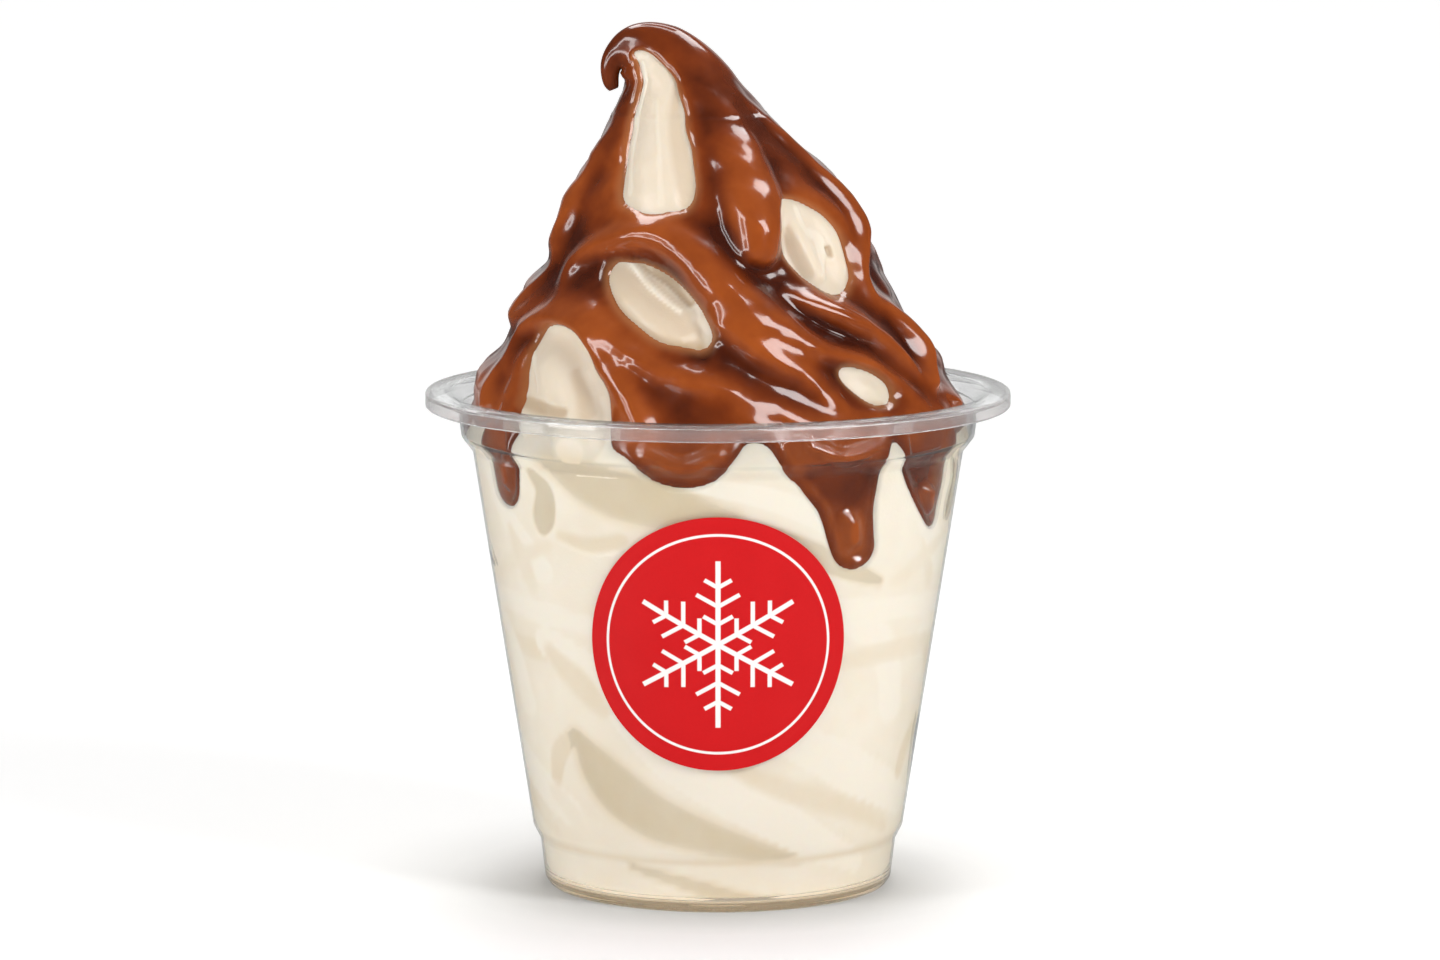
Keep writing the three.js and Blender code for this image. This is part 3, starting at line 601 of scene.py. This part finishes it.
def drawn(bends):
    """The bends of a stroke with a smooth curve drawn through them."""
    points = np.array(bends, dtype=float)
    points = np.vstack([2.0 * points[0] - points[1], points, 2.0 * points[-1] - points[-2]])
    line = []
    for a, b, c, d in zip(points, points[1:], points[2:], points[3:]):
        for step in range(STROKE_STEPS):
            t = step / STROKE_STEPS
            cubic = 3.0 * (b - c) + d - a
            square = 2.0 * a - 5.0 * b + 4.0 * c - d
            line.append(b + 0.5 * t * (c - a + t * (square + t * cubic)))
    line.append(points[-2])
    return np.array(line)


def nearest(bends, margin=2.6):
    """The distance from a stroke in half widths, with its half width and height there."""
    line = drawn(bends)
    far = 9.0
    away = np.full(azimuth.shape, far)
    width = np.ones(azimuth.shape)
    height = np.zeros(azimuth.shape)
    edge = margin * line[:, 2].max() + 1.0
    for start, end in zip(line, line[1:]):
        low, high = sorted((start[1], end[1]))
        rows = slice(*np.searchsorted(stations, (low - edge, high + edge)))
        radius = reach_radius[rows]
        turn = (azimuth[rows] - start[0] + 180.0) % 360.0 - 180.0
        across = np.radians(turn) * radius
        along = (station[rows] - start[1]) * STATION_STRETCH
        step_across = math.radians(end[0] - start[0]) * radius
        step_along = (end[1] - start[1]) * STATION_STRETCH
        length = step_across ** 2 + step_along ** 2
        t = np.clip((across * step_across + along * step_along) / length, 0.0, 1.0)
        here = start[2] + (end[2] - start[2]) * t
        gap = np.hypot(across - t * step_across, along - t * step_along) / here
        closer = gap < away[rows]
        away[rows] = np.where(closer, gap, away[rows])
        width[rows] = np.where(closer, here, width[rows])
        if line.shape[1] > 3:
            top = start[3] + (end[3] - start[3]) * t
            height[rows] = np.where(closer, top, height[rows])
    return away, width, height


def hump(bends):
    """The height of a rounded ridge along a stroke, below zero beyond its half width."""
    away, _, height = nearest(bends)
    return height * (1.0 - np.minimum(away, HUMP_REACH) ** ROPE_ROUNDNESS)


def ripples(seed, shortest, longest, count=9):
    """Soft waves in all directions over the swirl, from about -1 to 1."""
    chance = np.random.default_rng(seed)
    turn = np.radians(azimuth)
    spread = np.array([reach_radius * np.sin(turn), -reach_radius * np.cos(turn), station])
    total = np.zeros(azimuth.shape)
    for _ in range(count):
        heading = chance.normal(size=3)
        heading /= np.linalg.norm(heading)
        wave = 2.0 * math.pi / chance.uniform(shortest, longest)
        phase = chance.uniform(0.0, 2.0 * math.pi)
        total += np.sin(wave * np.tensordot(heading, spread, axes=1) + phase)
    return total / math.sqrt(count)


def evened(values, rows_reach, columns_reach):
    """The values averaged over a block of neighbouring points."""
    rows = np.pad(values, ((rows_reach, rows_reach), (0, 0)), mode="edge")
    total = sum(rows[i:i + len(values)] for i in range(2 * rows_reach + 1))
    total = sum(np.roll(total, i, axis=1) for i in range(-columns_reach, columns_reach + 1))
    return total / ((2 * rows_reach + 1) * (2 * columns_reach + 1))


def softened(values):
    """The values with their sharp joins evened out."""
    return evened(evened(values, *SOFTENING), *SOFTENING)


body = body_radius(station)
full_layer = np.minimum(SAUCE_THICKNESS, SAUCE_SHARE * body)
rise = np.zeros(azimuth.shape)
for rope in ROPES:
    rise = larger(rise, hump(rope), ROPE_BLEND)
rise *= 1.0 - ease(*ROPES_END, station)

# The distance into the sauce from its edge, below zero where the ice cream is bare.
cover = station - SAUCE_EDGE
for wave_height, number, phase in SAUCE_EDGE_WAVES:
    cover = cover - wave_height * np.sin(np.radians(number * azimuth) + phase)
for drip in DRIPS:
    away, width, _ = nearest(drip, margin=1.6)
    cover = larger(cover, (1.0 - away) * width, DRIP_BLEND)
for window in WINDOWS:
    away, width, _ = nearest(window, margin=1.6)
    cover = smaller(cover, (away - 1.0) * width, WINDOW_BLEND)
cover = softened(cover) + 0.16 * ripples(5, shortest=6.0, longest=12.0)

bare = body + rise - full_layer
for lobe in LOBES:
    bare = larger(bare, body - full_layer + hump(lobe), LOBE_BLEND)
above_rim = ease(*RIM_PASSED, station)
bare = bare + above_rim * (softened(bare) - bare)
curl_fade = 1.0 - ease(*RIPPLES_END, station)
swells = 0.16 * ripples(11, shortest=5.0, longest=10.0)
fine_ripples = 0.02 * ripples(12, shortest=1.6, longest=2.8)
bare = bare + curl_fade * (swells + fine_ripples)


def shaded(base, strokes, turned):
    """A painted shade with each stroke's own laid over it, in a soft step across its edge."""
    for darkness, softness, bends in strokes:
        away, width, _ = nearest([(at + turned, *rest) for at, *rest in bends], margin=2.4)
        base = base + (darkness - base) * ease(-0.5, 1.0, (1.0 - away) * width / softness)
    return base


# Painted shade in the recesses between the folds of the pressed ice cream; the same mask dents
# the ice cream a little.
fold_shade = np.full(azimuth.shape, PRESSED_DARKNESS)
for turned in FOLDS_ROUND:
    fold_shade = shaded(fold_shade, FOLDS, turned)
window_shade = shaded(np.full(azimuth.shape, WINDOW_DARKNESS), WINDOW_SHADES, 0.0)
dent = FOLD_DENT * np.clip(fold_shade - PRESSED_DARKNESS, 0.0, 1.0) * (1.0 - ease(*DENTS_END, station))
wall = np.where(station < RIM_HEIGHT, wall_radius, NO_WALL)

thinned = THIN_SHARE * full_layer * (1.0 - ease(0.0, THIN_REACH, cover))
bare = bare + thinned + SHADE_RELIEF * above_rim * (WINDOW_DARKNESS - window_shade)
lip = np.clip(cover / SAUCE_LIP, 0.0, 1.0)
layer = (full_layer - thinned) * np.sqrt(1.0 - (1.0 - lip) ** 2)
layer = np.where(cover > 0.0, layer, cover)

beads = np.zeros(azimuth.shape)
for bead in BEADS:
    away, _, _ = nearest(bead, margin=1.2)
    beads = np.maximum(beads, ease(0.0, 1.0, 1.0 - away))
groove = EDGE_RECESS * (1.0 - ease(0.0, GROOVE_WIDTH, -cover))
shoulder = EDGE_RECESS * np.clip(1.0 - cover / DRIP_SHOULDER, 0.0, 1.0) ** 2
recess = np.where(cover > 0.0, shoulder, groove)
recess = recess + NECK_RECESS * (1.0 - beads) * ease(*NECK_START, cover)
sauce_radius = smaller(bare + layer, wall - recess, WALL_BLEND)
bare_ice = smaller(bare, wall - recess - dent, WALL_BLEND)
sauce_radius = np.where(cover > 0.0, np.maximum(sauce_radius, bare_ice), bare_ice + layer)
ice_radius = np.where(cover > 0.0, np.minimum(bare_ice, sauce_radius - layer), bare_ice)
past = np.clip((station - ICE_TOP + ICE_ROUNDING) / ICE_ROUNDING, 0.0, 1.0)
ice_radius = ice_radius * np.sqrt(1.0 - past ** 2)


def on_swirl(radius):
    """The places at these radii round the bent axis of the swirl."""
    upright = stations < SECTIONS[1, 0]
    centre_x = np.where(upright, 0.0, along_body(1, stations))[:, None]
    centre_z = np.where(upright, stations, along_body(2, stations))[:, None]
    tilt = np.radians(along_body(4, stations))[:, None]
    turn = np.radians(azimuth)
    sideways = radius * np.sin(turn)
    flat = 1.0 - CURL_FLATNESS * ease(*CURL_FLATTENS, station)
    x = centre_x + sideways * np.cos(tilt)
    y = -radius * np.cos(turn) * flat
    z = centre_z + sideways * np.sin(tilt)
    return np.stack([x, y, z], axis=-1)


ice_places = on_swirl(ice_radius)
floor_centre = np.broadcast_to([0.0, 0.0, ICE_FLOOR], ice_places[:1].shape)
floor_edge = ice_places[:1].copy()
floor_edge[..., 2] = ICE_FLOOR
floor_edge[..., :2] *= ICE_FLOOR_SHARE
above = np.count_nonzero(stations < ICE_TOP)
ice_end = ice_places[above - 1:above].mean(axis=1, keepdims=True)
ice_end = np.broadcast_to(ice_end, ice_places[:1].shape)
ice_places = np.concatenate([floor_centre, floor_edge, ice_places[:above], ice_end])


def with_ends(mask):
    """A mask of the swirl with the two rows of its floor in front and its tip's one behind."""
    return np.concatenate([np.zeros((2, len(angles))), mask[:above], mask[above - 1:above]])


ice_masks = {
    "fold_shade": with_ends(fold_shade),
    "window_shade": with_ends(window_shade),
    "in_cup": with_ends(1.0 - ease(*CUP_SHADES_END, station)),
}
ice_cream = surface("soft_serve_ice_cream", ice_places, masks=ice_masks)
weld(ice_cream, sharp_angle=70)


def stored_mask(tree, name):
    """A mask that was stored on the points of the mesh."""
    return place_node(tree, "ShaderNodeAttribute", {"attribute_name": name}).outputs["Fac"]


def ramp(tree, value, stops):
    """The colour at a value, from stops of a position and a colour each."""
    made = place_node(tree, "ShaderNodeValToRGB", Fac=value)
    elements = made.color_ramp.elements
    for position, _ in stops[1:-1]:
        elements.new(position)
    for element, (position, colour) in zip(elements, stops):
        element.position = position
        element.color = colour
    return made.outputs["Color"]


def blended(tree, share, first, second):
    """Two colours mixed, by the share of the second."""
    made = place_node(tree, "ShaderNodeMix", {"data_type": "RGBA"}, Factor=share)
    feed(tree, made.inputs[6], first)
    feed(tree, made.inputs[7], second)
    return made.outputs[2]


PRESSED_CREAM = (0.92, 0.84, 0.72, 1.0)
CLOUDED_AND_SHADED_CREAM = (0.74, 0.60, 0.40, 1.0)
BARE_CREAM = (0.86, 0.765, 0.63, 1.0)
SHADED_CREAM = (0.56, 0.40, 0.24, 1.0)
CLOUD_STRENGTH = 0.6

cream, tree, shader = new_material("vanilla_ice_cream")
in_cup = stored_mask(tree, "in_cup")
clouds = uneven(tree, swell=60.0, grain=260.0, share=0.35)
clouded = maths(tree, "MULTIPLY_ADD", clouds, CLOUD_STRENGTH, -CLOUD_STRENGTH / 2.0)
# Painted shade of the folds inside the cup, laid over the cream's random clouds.
fold_shade_in_cup = maths(tree, "MULTIPLY", stored_mask(tree, "fold_shade"), in_cup)
soft_fold_shade = maths(tree, "ADD", clouded, fold_shade_in_cup)
pressed_shade = ramp(tree, soft_fold_shade, [(0.05, PRESSED_CREAM), (0.90, CLOUDED_AND_SHADED_CREAM)])
# The bare cream mixes towards a painted shade in the windows, and away from it along painted
# highlight lines.
bare_shade = blended(tree, stored_mask(tree, "window_shade"), BARE_CREAM, SHADED_CREAM)
cream_colour = blended(tree, in_cup, bare_shade, pressed_shade)
tree.links.new(cream_colour, shader.inputs["Base Color"])
shader.inputs["Roughness"].default_value = 0.34
shader.inputs["IOR"].default_value = 1.36
shader.inputs["Subsurface Weight"].default_value = 0.35
shader.inputs["Subsurface Radius"].default_value = (1.0, 0.75, 0.5)
shader.inputs["Subsurface Scale"].default_value = 3.0 * MM
churned = uneven(tree, swell=420.0, grain=1800.0, share=0.35)
grained = bump(tree, churned, distance=0.25 * MM, strength=0.35)
tree.links.new(grained, shader.inputs["Normal"])
ice_cream.data.materials.append(cream)
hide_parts("ice_cream")
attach(ice_cream, "root")

# ---- The sauce ----------------------------------------------------------------------------
# Thick chocolate hazelnut sauce, poured over the swirl while it is cold, so that it clings in
# a skin of about two millimetres with rounded lips, and runs down inside the cup in drips.

RIDGE_REACH = (16, 38)
RIDGE_START = (-1.5, 2.9)
RIDGE_IN_CUP = 0.46
LIP_GLOW_REACH = 1.8
EDGE_SHADE_REACH = 2.6
SKIN_MARGIN = 0.9

skin_waves = curl_fade * 0.07 * ripples(21, shortest=4.0, longest=9.0)
sauce_skin = sauce_radius + skin_waves
sauce_skin = np.where(station < RIM_HEIGHT, np.minimum(sauce_skin, wall), sauce_skin)
sauce_places = on_swirl(sauce_skin)

# Painted light and shade: the sauce is lighter where it stands out in ridges and darker in its
# hollows.
stands_out = sauce_radius - evened(sauce_radius, *RIDGE_REACH)
sauce_masks = {
    "ridge": np.maximum(ease(*RIDGE_START, stands_out), RIDGE_IN_CUP * (1.0 - above_rim)),
    "thin": 1.0 - np.clip(cover / LIP_GLOW_REACH, 0.0, 1.0),
    # Painted shade along the edges of the sauce inside the cup.
    "pressed": (1.0 - above_rim) * (1.0 - ease(0.0, EDGE_SHADE_REACH, cover)),
}
skin_kept = cover > -SKIN_MARGIN
sauce = surface("chocolate_sauce_skin", sauce_places, keep=skin_kept, masks=sauce_masks)
weld(sauce, sharp_angle=70)

# The sauce's colours run from dark to light with random streaks, painted shade in its hollows and
# painted light on its ridges.
DARK_AND_SHADED_SAUCE = (0.048, 0.0060, 0.0008, 1.0)
MIDDLE_SAUCE = (0.19, 0.032, 0.0045, 1.0)
LIGHT_AND_LIT_SAUCE = (0.37, 0.078, 0.012, 1.0)
SAUCE_GLOW = (0.52, 0.20, 0.075, 1.0)
STREAK_STRENGTH = 1.1
STREAK_START = -0.60
RIDGE_PAINTED_LIGHT = 0.90
EDGE_SHADE_IN_CUP = -0.40
GLOW_STRENGTH = 0.65

chocolate, tree, shader = new_material("chocolate_hazelnut_sauce")
pressed = stored_mask(tree, "pressed")
streaks = uneven(tree, swell=80.0, grain=300.0, share=0.35)
streaked = maths(tree, "MULTIPLY_ADD", streaks, STREAK_STRENGTH, STREAK_START)
painted_ridge_light = maths(tree, "MULTIPLY", stored_mask(tree, "ridge"), RIDGE_PAINTED_LIGHT)
# Painted shade at the edges of the drips inside the cup.
painted_edge_shade = maths(tree, "MULTIPLY", pressed, EDGE_SHADE_IN_CUP)
lightness = maths(tree, "ADD", maths(tree, "ADD", streaked, painted_ridge_light), painted_edge_shade, clamped=True)
sauce_stops = [(0.0, DARK_AND_SHADED_SAUCE), (0.5, MIDDLE_SAUCE), (1.0, LIGHT_AND_LIT_SAUCE)]
# Light shines through the thin lips of the sauce.
thinness = maths(tree, "POWER", stored_mask(tree, "thin"), 2.0)
glow = maths(tree, "MULTIPLY", thinness, GLOW_STRENGTH)
glow = maths(tree, "SUBTRACT", glow, pressed, clamped=True)
sauce_colour = blended(tree, glow, ramp(tree, lightness, sauce_stops), SAUCE_GLOW)
tree.links.new(sauce_colour, shader.inputs["Base Color"])
shader.inputs["Roughness"].default_value = 0.16
shader.inputs["IOR"].default_value = 1.45
shader.inputs["Coat Weight"].default_value = 0.5
shader.inputs["Coat Roughness"].default_value = 0.03
poured = uneven(tree, swell=210.0, grain=900.0, share=0.15)
rippled = bump(tree, poured, distance=0.6 * MM, strength=0.12)
tree.links.new(rippled, shader.inputs["Normal"])
sauce.data.materials.append(chocolate)
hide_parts("chocolate_sauce")
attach(sauce, "root")

# ---- The sticker --------------------------------------------------------------------------
# A round paper sticker under a satin film, printed red with a thin white ring and a
# snowflake, and stuck on the front of the wall.

LABEL_RADIUS = 21.0
LABEL_HEIGHT = 44.8
LABEL_LIFT = 0.04
LABEL_THICKNESS = 0.2
LABEL_COLUMNS = 180
LABEL_RINGS = 14

rings = np.linspace(0.0, LABEL_RADIUS, LABEL_RINGS)
ring_radii = np.concatenate([rings, rings[::-1]])
ring_lifts = np.concatenate([np.zeros(LABEL_RINGS), np.full(LABEL_RINGS, LABEL_THICKNESS)])
label_turn = np.radians(np.arange(LABEL_COLUMNS) * 360.0 / LABEL_COLUMNS)
right = ring_radii[:, None] * np.cos(label_turn)[None, :]
up = ring_radii[:, None] * np.sin(label_turn)[None, :]
draft = (WALL_TOP[0] - WALL_FOOT[0]) / (WALL_TOP[1] - WALL_FOOT[1])
height = LABEL_HEIGHT + up / math.hypot(1.0, draft)
cone = WALL_FOOT[0] + draft * (height - WALL_FOOT[1])
wrap = right / cone
out = cone + LABEL_LIFT + ring_lifts[:, None]
label_places = np.stack([out * np.sin(wrap), -out * np.cos(wrap), height], axis=-1)
label_masks = {"right": right / LABEL_RADIUS, "up": up / LABEL_RADIUS}
label = surface("round_sticker", label_places, masks=label_masks)
weld(label, sharp_angle=40)

# The print, in shares of the sticker's radius. Twigs: start along the arm, and length.
EDGE_SOFTNESS = 0.006
RING_RADIUS = 0.86
RING_HALF_WIDTH = 0.013
ARM_LENGTH = 0.66
ARM_HALF_WIDTH = 0.022
TWIG_HALF_WIDTH = 0.019
TWIGS = ((0.16, 0.13), (0.30, 0.19), (0.45, 0.12))
DARK_RED = (0.57, 0.0050, 0.0075, 1.0)
LIGHT_RED = (0.66, 0.0075, 0.010, 1.0)
PAPER_WHITE = (0.90, 0.88, 0.86, 1.0)

printed, tree, shader = new_material("printed_sticker")
across = stored_mask(tree, "right")
upward = stored_mask(tree, "up")


def within(distance, half_width):
    """1 where the distance is under the half width, with a narrow soft edge."""
    left = maths(tree, "SUBTRACT", half_width, distance)
    return maths(tree, "DIVIDE", left, EDGE_SOFTNESS, clamped=True)


squares = maths(tree, "ADD", maths(tree, "POWER", across, 2.0), maths(tree, "POWER", upward, 2.0))
from_middle = maths(tree, "SQRT", squares)
from_ring = maths(tree, "ABSOLUTE", maths(tree, "SUBTRACT", from_middle, RING_RADIUS))
ring = within(from_ring, RING_HALF_WIDTH)
sixth = math.pi / 3.0
bearing = maths(tree, "ARCTAN2", across, upward)
folded = maths(tree, "PINGPONG", bearing, sixth / 2.0)
arm_side = maths(tree, "MULTIPLY", from_middle, maths(tree, "SINE", folded))
arm_along = maths(tree, "MULTIPLY", from_middle, maths(tree, "COSINE", folded))
on_arm = within(arm_side, ARM_HALF_WIDTH)
flake = maths(tree, "MULTIPLY", on_arm, within(from_middle, ARM_LENGTH))
for start, length in TWIGS:
    beyond = maths(tree, "SUBTRACT", arm_along, start)
    twig_along = maths(tree, "ADD", maths(tree, "MULTIPLY", beyond, math.cos(sixth)),
                       maths(tree, "MULTIPLY", arm_side, math.sin(sixth)))
    twig_side = maths(tree, "SUBTRACT", maths(tree, "MULTIPLY", beyond, math.sin(sixth)),
                      maths(tree, "MULTIPLY", arm_side, math.cos(sixth)))
    from_centre = maths(tree, "ABSOLUTE", maths(tree, "SUBTRACT", twig_along, length / 2.0))
    on_twig = within(maths(tree, "ABSOLUTE", twig_side), TWIG_HALF_WIDTH)
    twig = maths(tree, "MULTIPLY", on_twig, within(from_centre, length / 2.0))
    flake = maths(tree, "MAXIMUM", flake, twig)
ink = maths(tree, "MAXIMUM", ring, flake)
fibre = uneven(tree, swell=160.0, grain=2400.0, share=0.5)
red = ramp(tree, fibre, [(0.0, DARK_RED), (1.0, LIGHT_RED)])
tree.links.new(blended(tree, ink, red, PAPER_WHITE), shader.inputs["Base Color"])
film = ranged(tree, fibre, 0.0, 1.0, low=0.30, high=0.42)
tree.links.new(film, shader.inputs["Roughness"])
pressed_paper = bump(tree, fibre, distance=0.08 * MM, strength=0.3)
tree.links.new(pressed_paper, shader.inputs["Normal"])
shader.inputs["Specular IOR Level"].default_value = 0.15
label.data.materials.append(printed)
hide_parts("label")
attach(label, "root")

# ---- Floor, light and camera --------------------------------------------------------------
# A plain white table in a white room with a lighter ceiling, a soft box at each side in
# front and one above behind, and a long lens a metre away. These sizes are in metres.

TABLE_REACH = 12.0
WHITE = (1.0, 1.0, 1.0, 1.0)
WARM_WHITE = (1.0, 0.85, 0.66, 1.0)
GLOW_FAR = 0.60
GLOW_NEAR = 0.23
GLOW_BELOW = 0.52
GLOW_BELOW_MIRRORED = 0.35
MIRRORED_TABLE = 0.10
MIRRORED_IN_SHEET = 0.45
ONE_BOUNCE = 0.5
TWO_BOUNCES = 1.5

table_mesh = bpy.data.meshes.new("table_top")
table_turns = ((-1, -1), (1, -1), (1, 1), (-1, 1))
table_corners = [(x * TABLE_REACH, y * TABLE_REACH, 0) for x, y in table_turns]
table_mesh.from_pydata(table_corners, [], [(0, 1, 2, 3)])
table_top = bpy.data.objects.new("table_top", table_mesh)
bpy.context.scene.collection.objects.link(table_top)
white_table, tree, shader = new_material("white_table")
shader.inputs["Roughness"].default_value = 0.6
shader.inputs["Specular IOR Level"].default_value = 0.1
where = tree.nodes.new("ShaderNodeTexCoord").outputs["Object"]
from_cup = distance_from(tree, where)
# Painted shadow: the table's white is darker close round the foot.
painted_foot_shadow = ranged(tree, from_cup, 0.028, 0.046, low=0.74, high=0.90, smooth=True)
foot_shadow_grey = place_node(tree, "ShaderNodeCombineColor", Red=painted_foot_shadow, Green=painted_foot_shadow,
                  Blue=painted_foot_shadow)
tree.links.new(foot_shadow_grey.outputs["Color"], shader.inputs["Base Color"])
ray = tree.nodes.new("ShaderNodeLightPath")
mirrored = maths(tree, "GREATER_THAN", ray.outputs["Glossy Depth"], ONE_BOUNCE)
inside_sheet = maths(tree, "GREATER_THAN", ray.outputs["Glossy Depth"], TWO_BOUNCES)
through = maths(tree, "GREATER_THAN", ray.outputs["Transmission Depth"], ONE_BOUNCE)
# The table gives off a little light away from the foot, less close to it as a painted shadow, and
# a warm painted glow under it as seen through plastic.
far_light = ranged(tree, from_cup, 0.2, 1.3, low=GLOW_NEAR, high=GLOW_FAR, smooth=True)
beside_foot = ranged(tree, from_cup, 0.026, 0.068, smooth=True)
lifted = maths(tree, "MULTIPLY", far_light, beside_foot)
covered = ranged(tree, from_cup, 0.028, 0.040, low=1.0, high=0.0, smooth=True)
glow_below = maths(tree, "MULTIPLY", covered, through)
glow_colour = blended(tree, glow_below, WHITE, WARM_WHITE)
glow_strength = maths(tree, "MULTIPLY_ADD", glow_below, GLOW_BELOW, lifted)
tree.links.new(glow_colour, shader.inputs["Emission Color"])
tree.links.new(glow_strength, shader.inputs["Emission Strength"])
# In reflections it is dimmer.
dim_strength = maths(tree, "MULTIPLY_ADD", inside_sheet, MIRRORED_IN_SHEET, MIRRORED_TABLE)
dim_strength = maths(tree, "MULTIPLY_ADD", glow_below, GLOW_BELOW_MIRRORED, dim_strength)
dim_table = place_node(tree, "ShaderNodeEmission", Color=glow_colour, Strength=dim_strength)
either = layered(tree, mirrored, shader, dim_table)
tree.links.new(either.outputs["Shader"], tree.nodes["Material Output"].inputs["Surface"])
table_mesh.materials.append(white_table)

# The room as a strength of white: the camera sees it plain, and light and reflections dimmer.
ROOM_SEEN = 0.985
ROOM_BELOW = 0.34
ROOM_ABOVE = 0.48
LOSS_MIRRORED = 0.84
LOSS_IN_SHEET = -0.7
BACKDROP_MIRRORED = 0.45

studio = bpy.data.worlds.new("white_studio")
studio.use_nodes = True
bpy.context.scene.world = studio
tree = studio.node_tree
direction = tree.nodes.new("ShaderNodeTexCoord").outputs["Generated"]
heading = place_node(tree, "ShaderNodeSeparateXYZ", Vector=direction)
backdrop = ranged(tree, heading.outputs["Y"], 0.80, 0.96, smooth=True)
ceiling = ranged(tree, heading.outputs["Z"], 0.10, 0.80, ROOM_BELOW, ROOM_ABOVE, smooth=True)
ray = tree.nodes.new("ShaderNodeLightPath")
mirrored = maths(tree, "GREATER_THAN", ray.outputs["Glossy Depth"], ONE_BOUNCE)
scattered = maths(tree, "GREATER_THAN", ray.outputs["Diffuse Depth"], ONE_BOUNCE)
inside_sheet = maths(tree, "GREATER_THAN", ray.outputs["Glossy Depth"], TWO_BOUNCES)
straight = maths(tree, "SUBTRACT", 1.0, maths(tree, "MAXIMUM", mirrored, scattered))
loss = maths(tree, "MULTIPLY_ADD", inside_sheet, LOSS_IN_SHEET, LOSS_MIRRORED)
loss = maths(tree, "MULTIPLY", mirrored, loss)
dimmed = maths(tree, "MULTIPLY", ceiling, maths(tree, "SUBTRACT", 1.0, loss))
behind = maths(tree, "MULTIPLY", mirrored, backdrop)
dimmed = maths(tree, "MULTIPLY_ADD", behind, BACKDROP_MIRRORED, dimmed)
missing = maths(tree, "SUBTRACT", ROOM_SEEN, dimmed)
strength = maths(tree, "MULTIPLY_ADD", straight, missing, dimmed)
tree.links.new(strength, tree.nodes["Background"].inputs["Strength"])
tree.nodes["Background"].inputs["Color"].default_value = (1.0, 0.99, 0.98, 1.0)


LAMP_TARGET = (0.0, 0.0, 0.09)


def soft_box(name, place, width, height, power, mirrored_only):
    """A rectangular lamp that faces the swirl, for its light or for its reflection alone."""
    lamp = bpy.data.lights.new(name, "AREA")
    lamp.shape = "RECTANGLE"
    lamp.size = width
    lamp.size_y = height
    lamp.energy = power
    holder = bpy.data.objects.new(name, lamp)
    bpy.context.scene.collection.objects.link(holder)
    holder.location = place
    aim = Vector(LAMP_TARGET) - Vector(place)
    holder.rotation_euler = aim.to_track_quat("-Z", "Y").to_euler()
    holder.visible_diffuse = not mirrored_only
    holder.visible_glossy = mirrored_only


soft_box("right_box", (0.60, -0.50, 0.50), 0.22, 0.32, 3.7, mirrored_only=False)
soft_box("left_box", (-0.66, -0.42, 0.34), 0.18, 0.48, 2.3, mirrored_only=False)
soft_box("top_box", (0.05, 0.40, 0.80), 0.40, 0.22, 2.3, mirrored_only=False)
soft_box("right_card", (0.50, -0.52, 0.62), 0.42, 0.60, 7.0, mirrored_only=True)
soft_box("left_card", (-0.66, -0.42, 0.34), 0.32, 0.80, 6.4, mirrored_only=True)
soft_box("top_card", (0.05, 0.40, 0.80), 0.80, 0.40, 6.0, mirrored_only=True)

DEGREES_DOWN = 8.0
PICTURE_WIDTH = 1440.0
SHIFT_IN_PIXELS = 2.0

lens = bpy.data.cameras.new("camera")
lens.lens = 155.15
lens.sensor_width = 36.0
lens.shift_x = SHIFT_IN_PIXELS / PICTURE_WIDTH
lens.clip_start = 0.05
camera = bpy.data.objects.new("camera", lens)
camera.location = (0.0, -1.0, 0.2065)
camera.rotation_euler = (math.radians(90.0 - DEGREES_DOWN), 0.0, 0.0)
bpy.context.scene.collection.objects.link(camera)
bpy.context.scene.camera = camera
bpy.context.scene.view_settings.view_transform = "Standard"
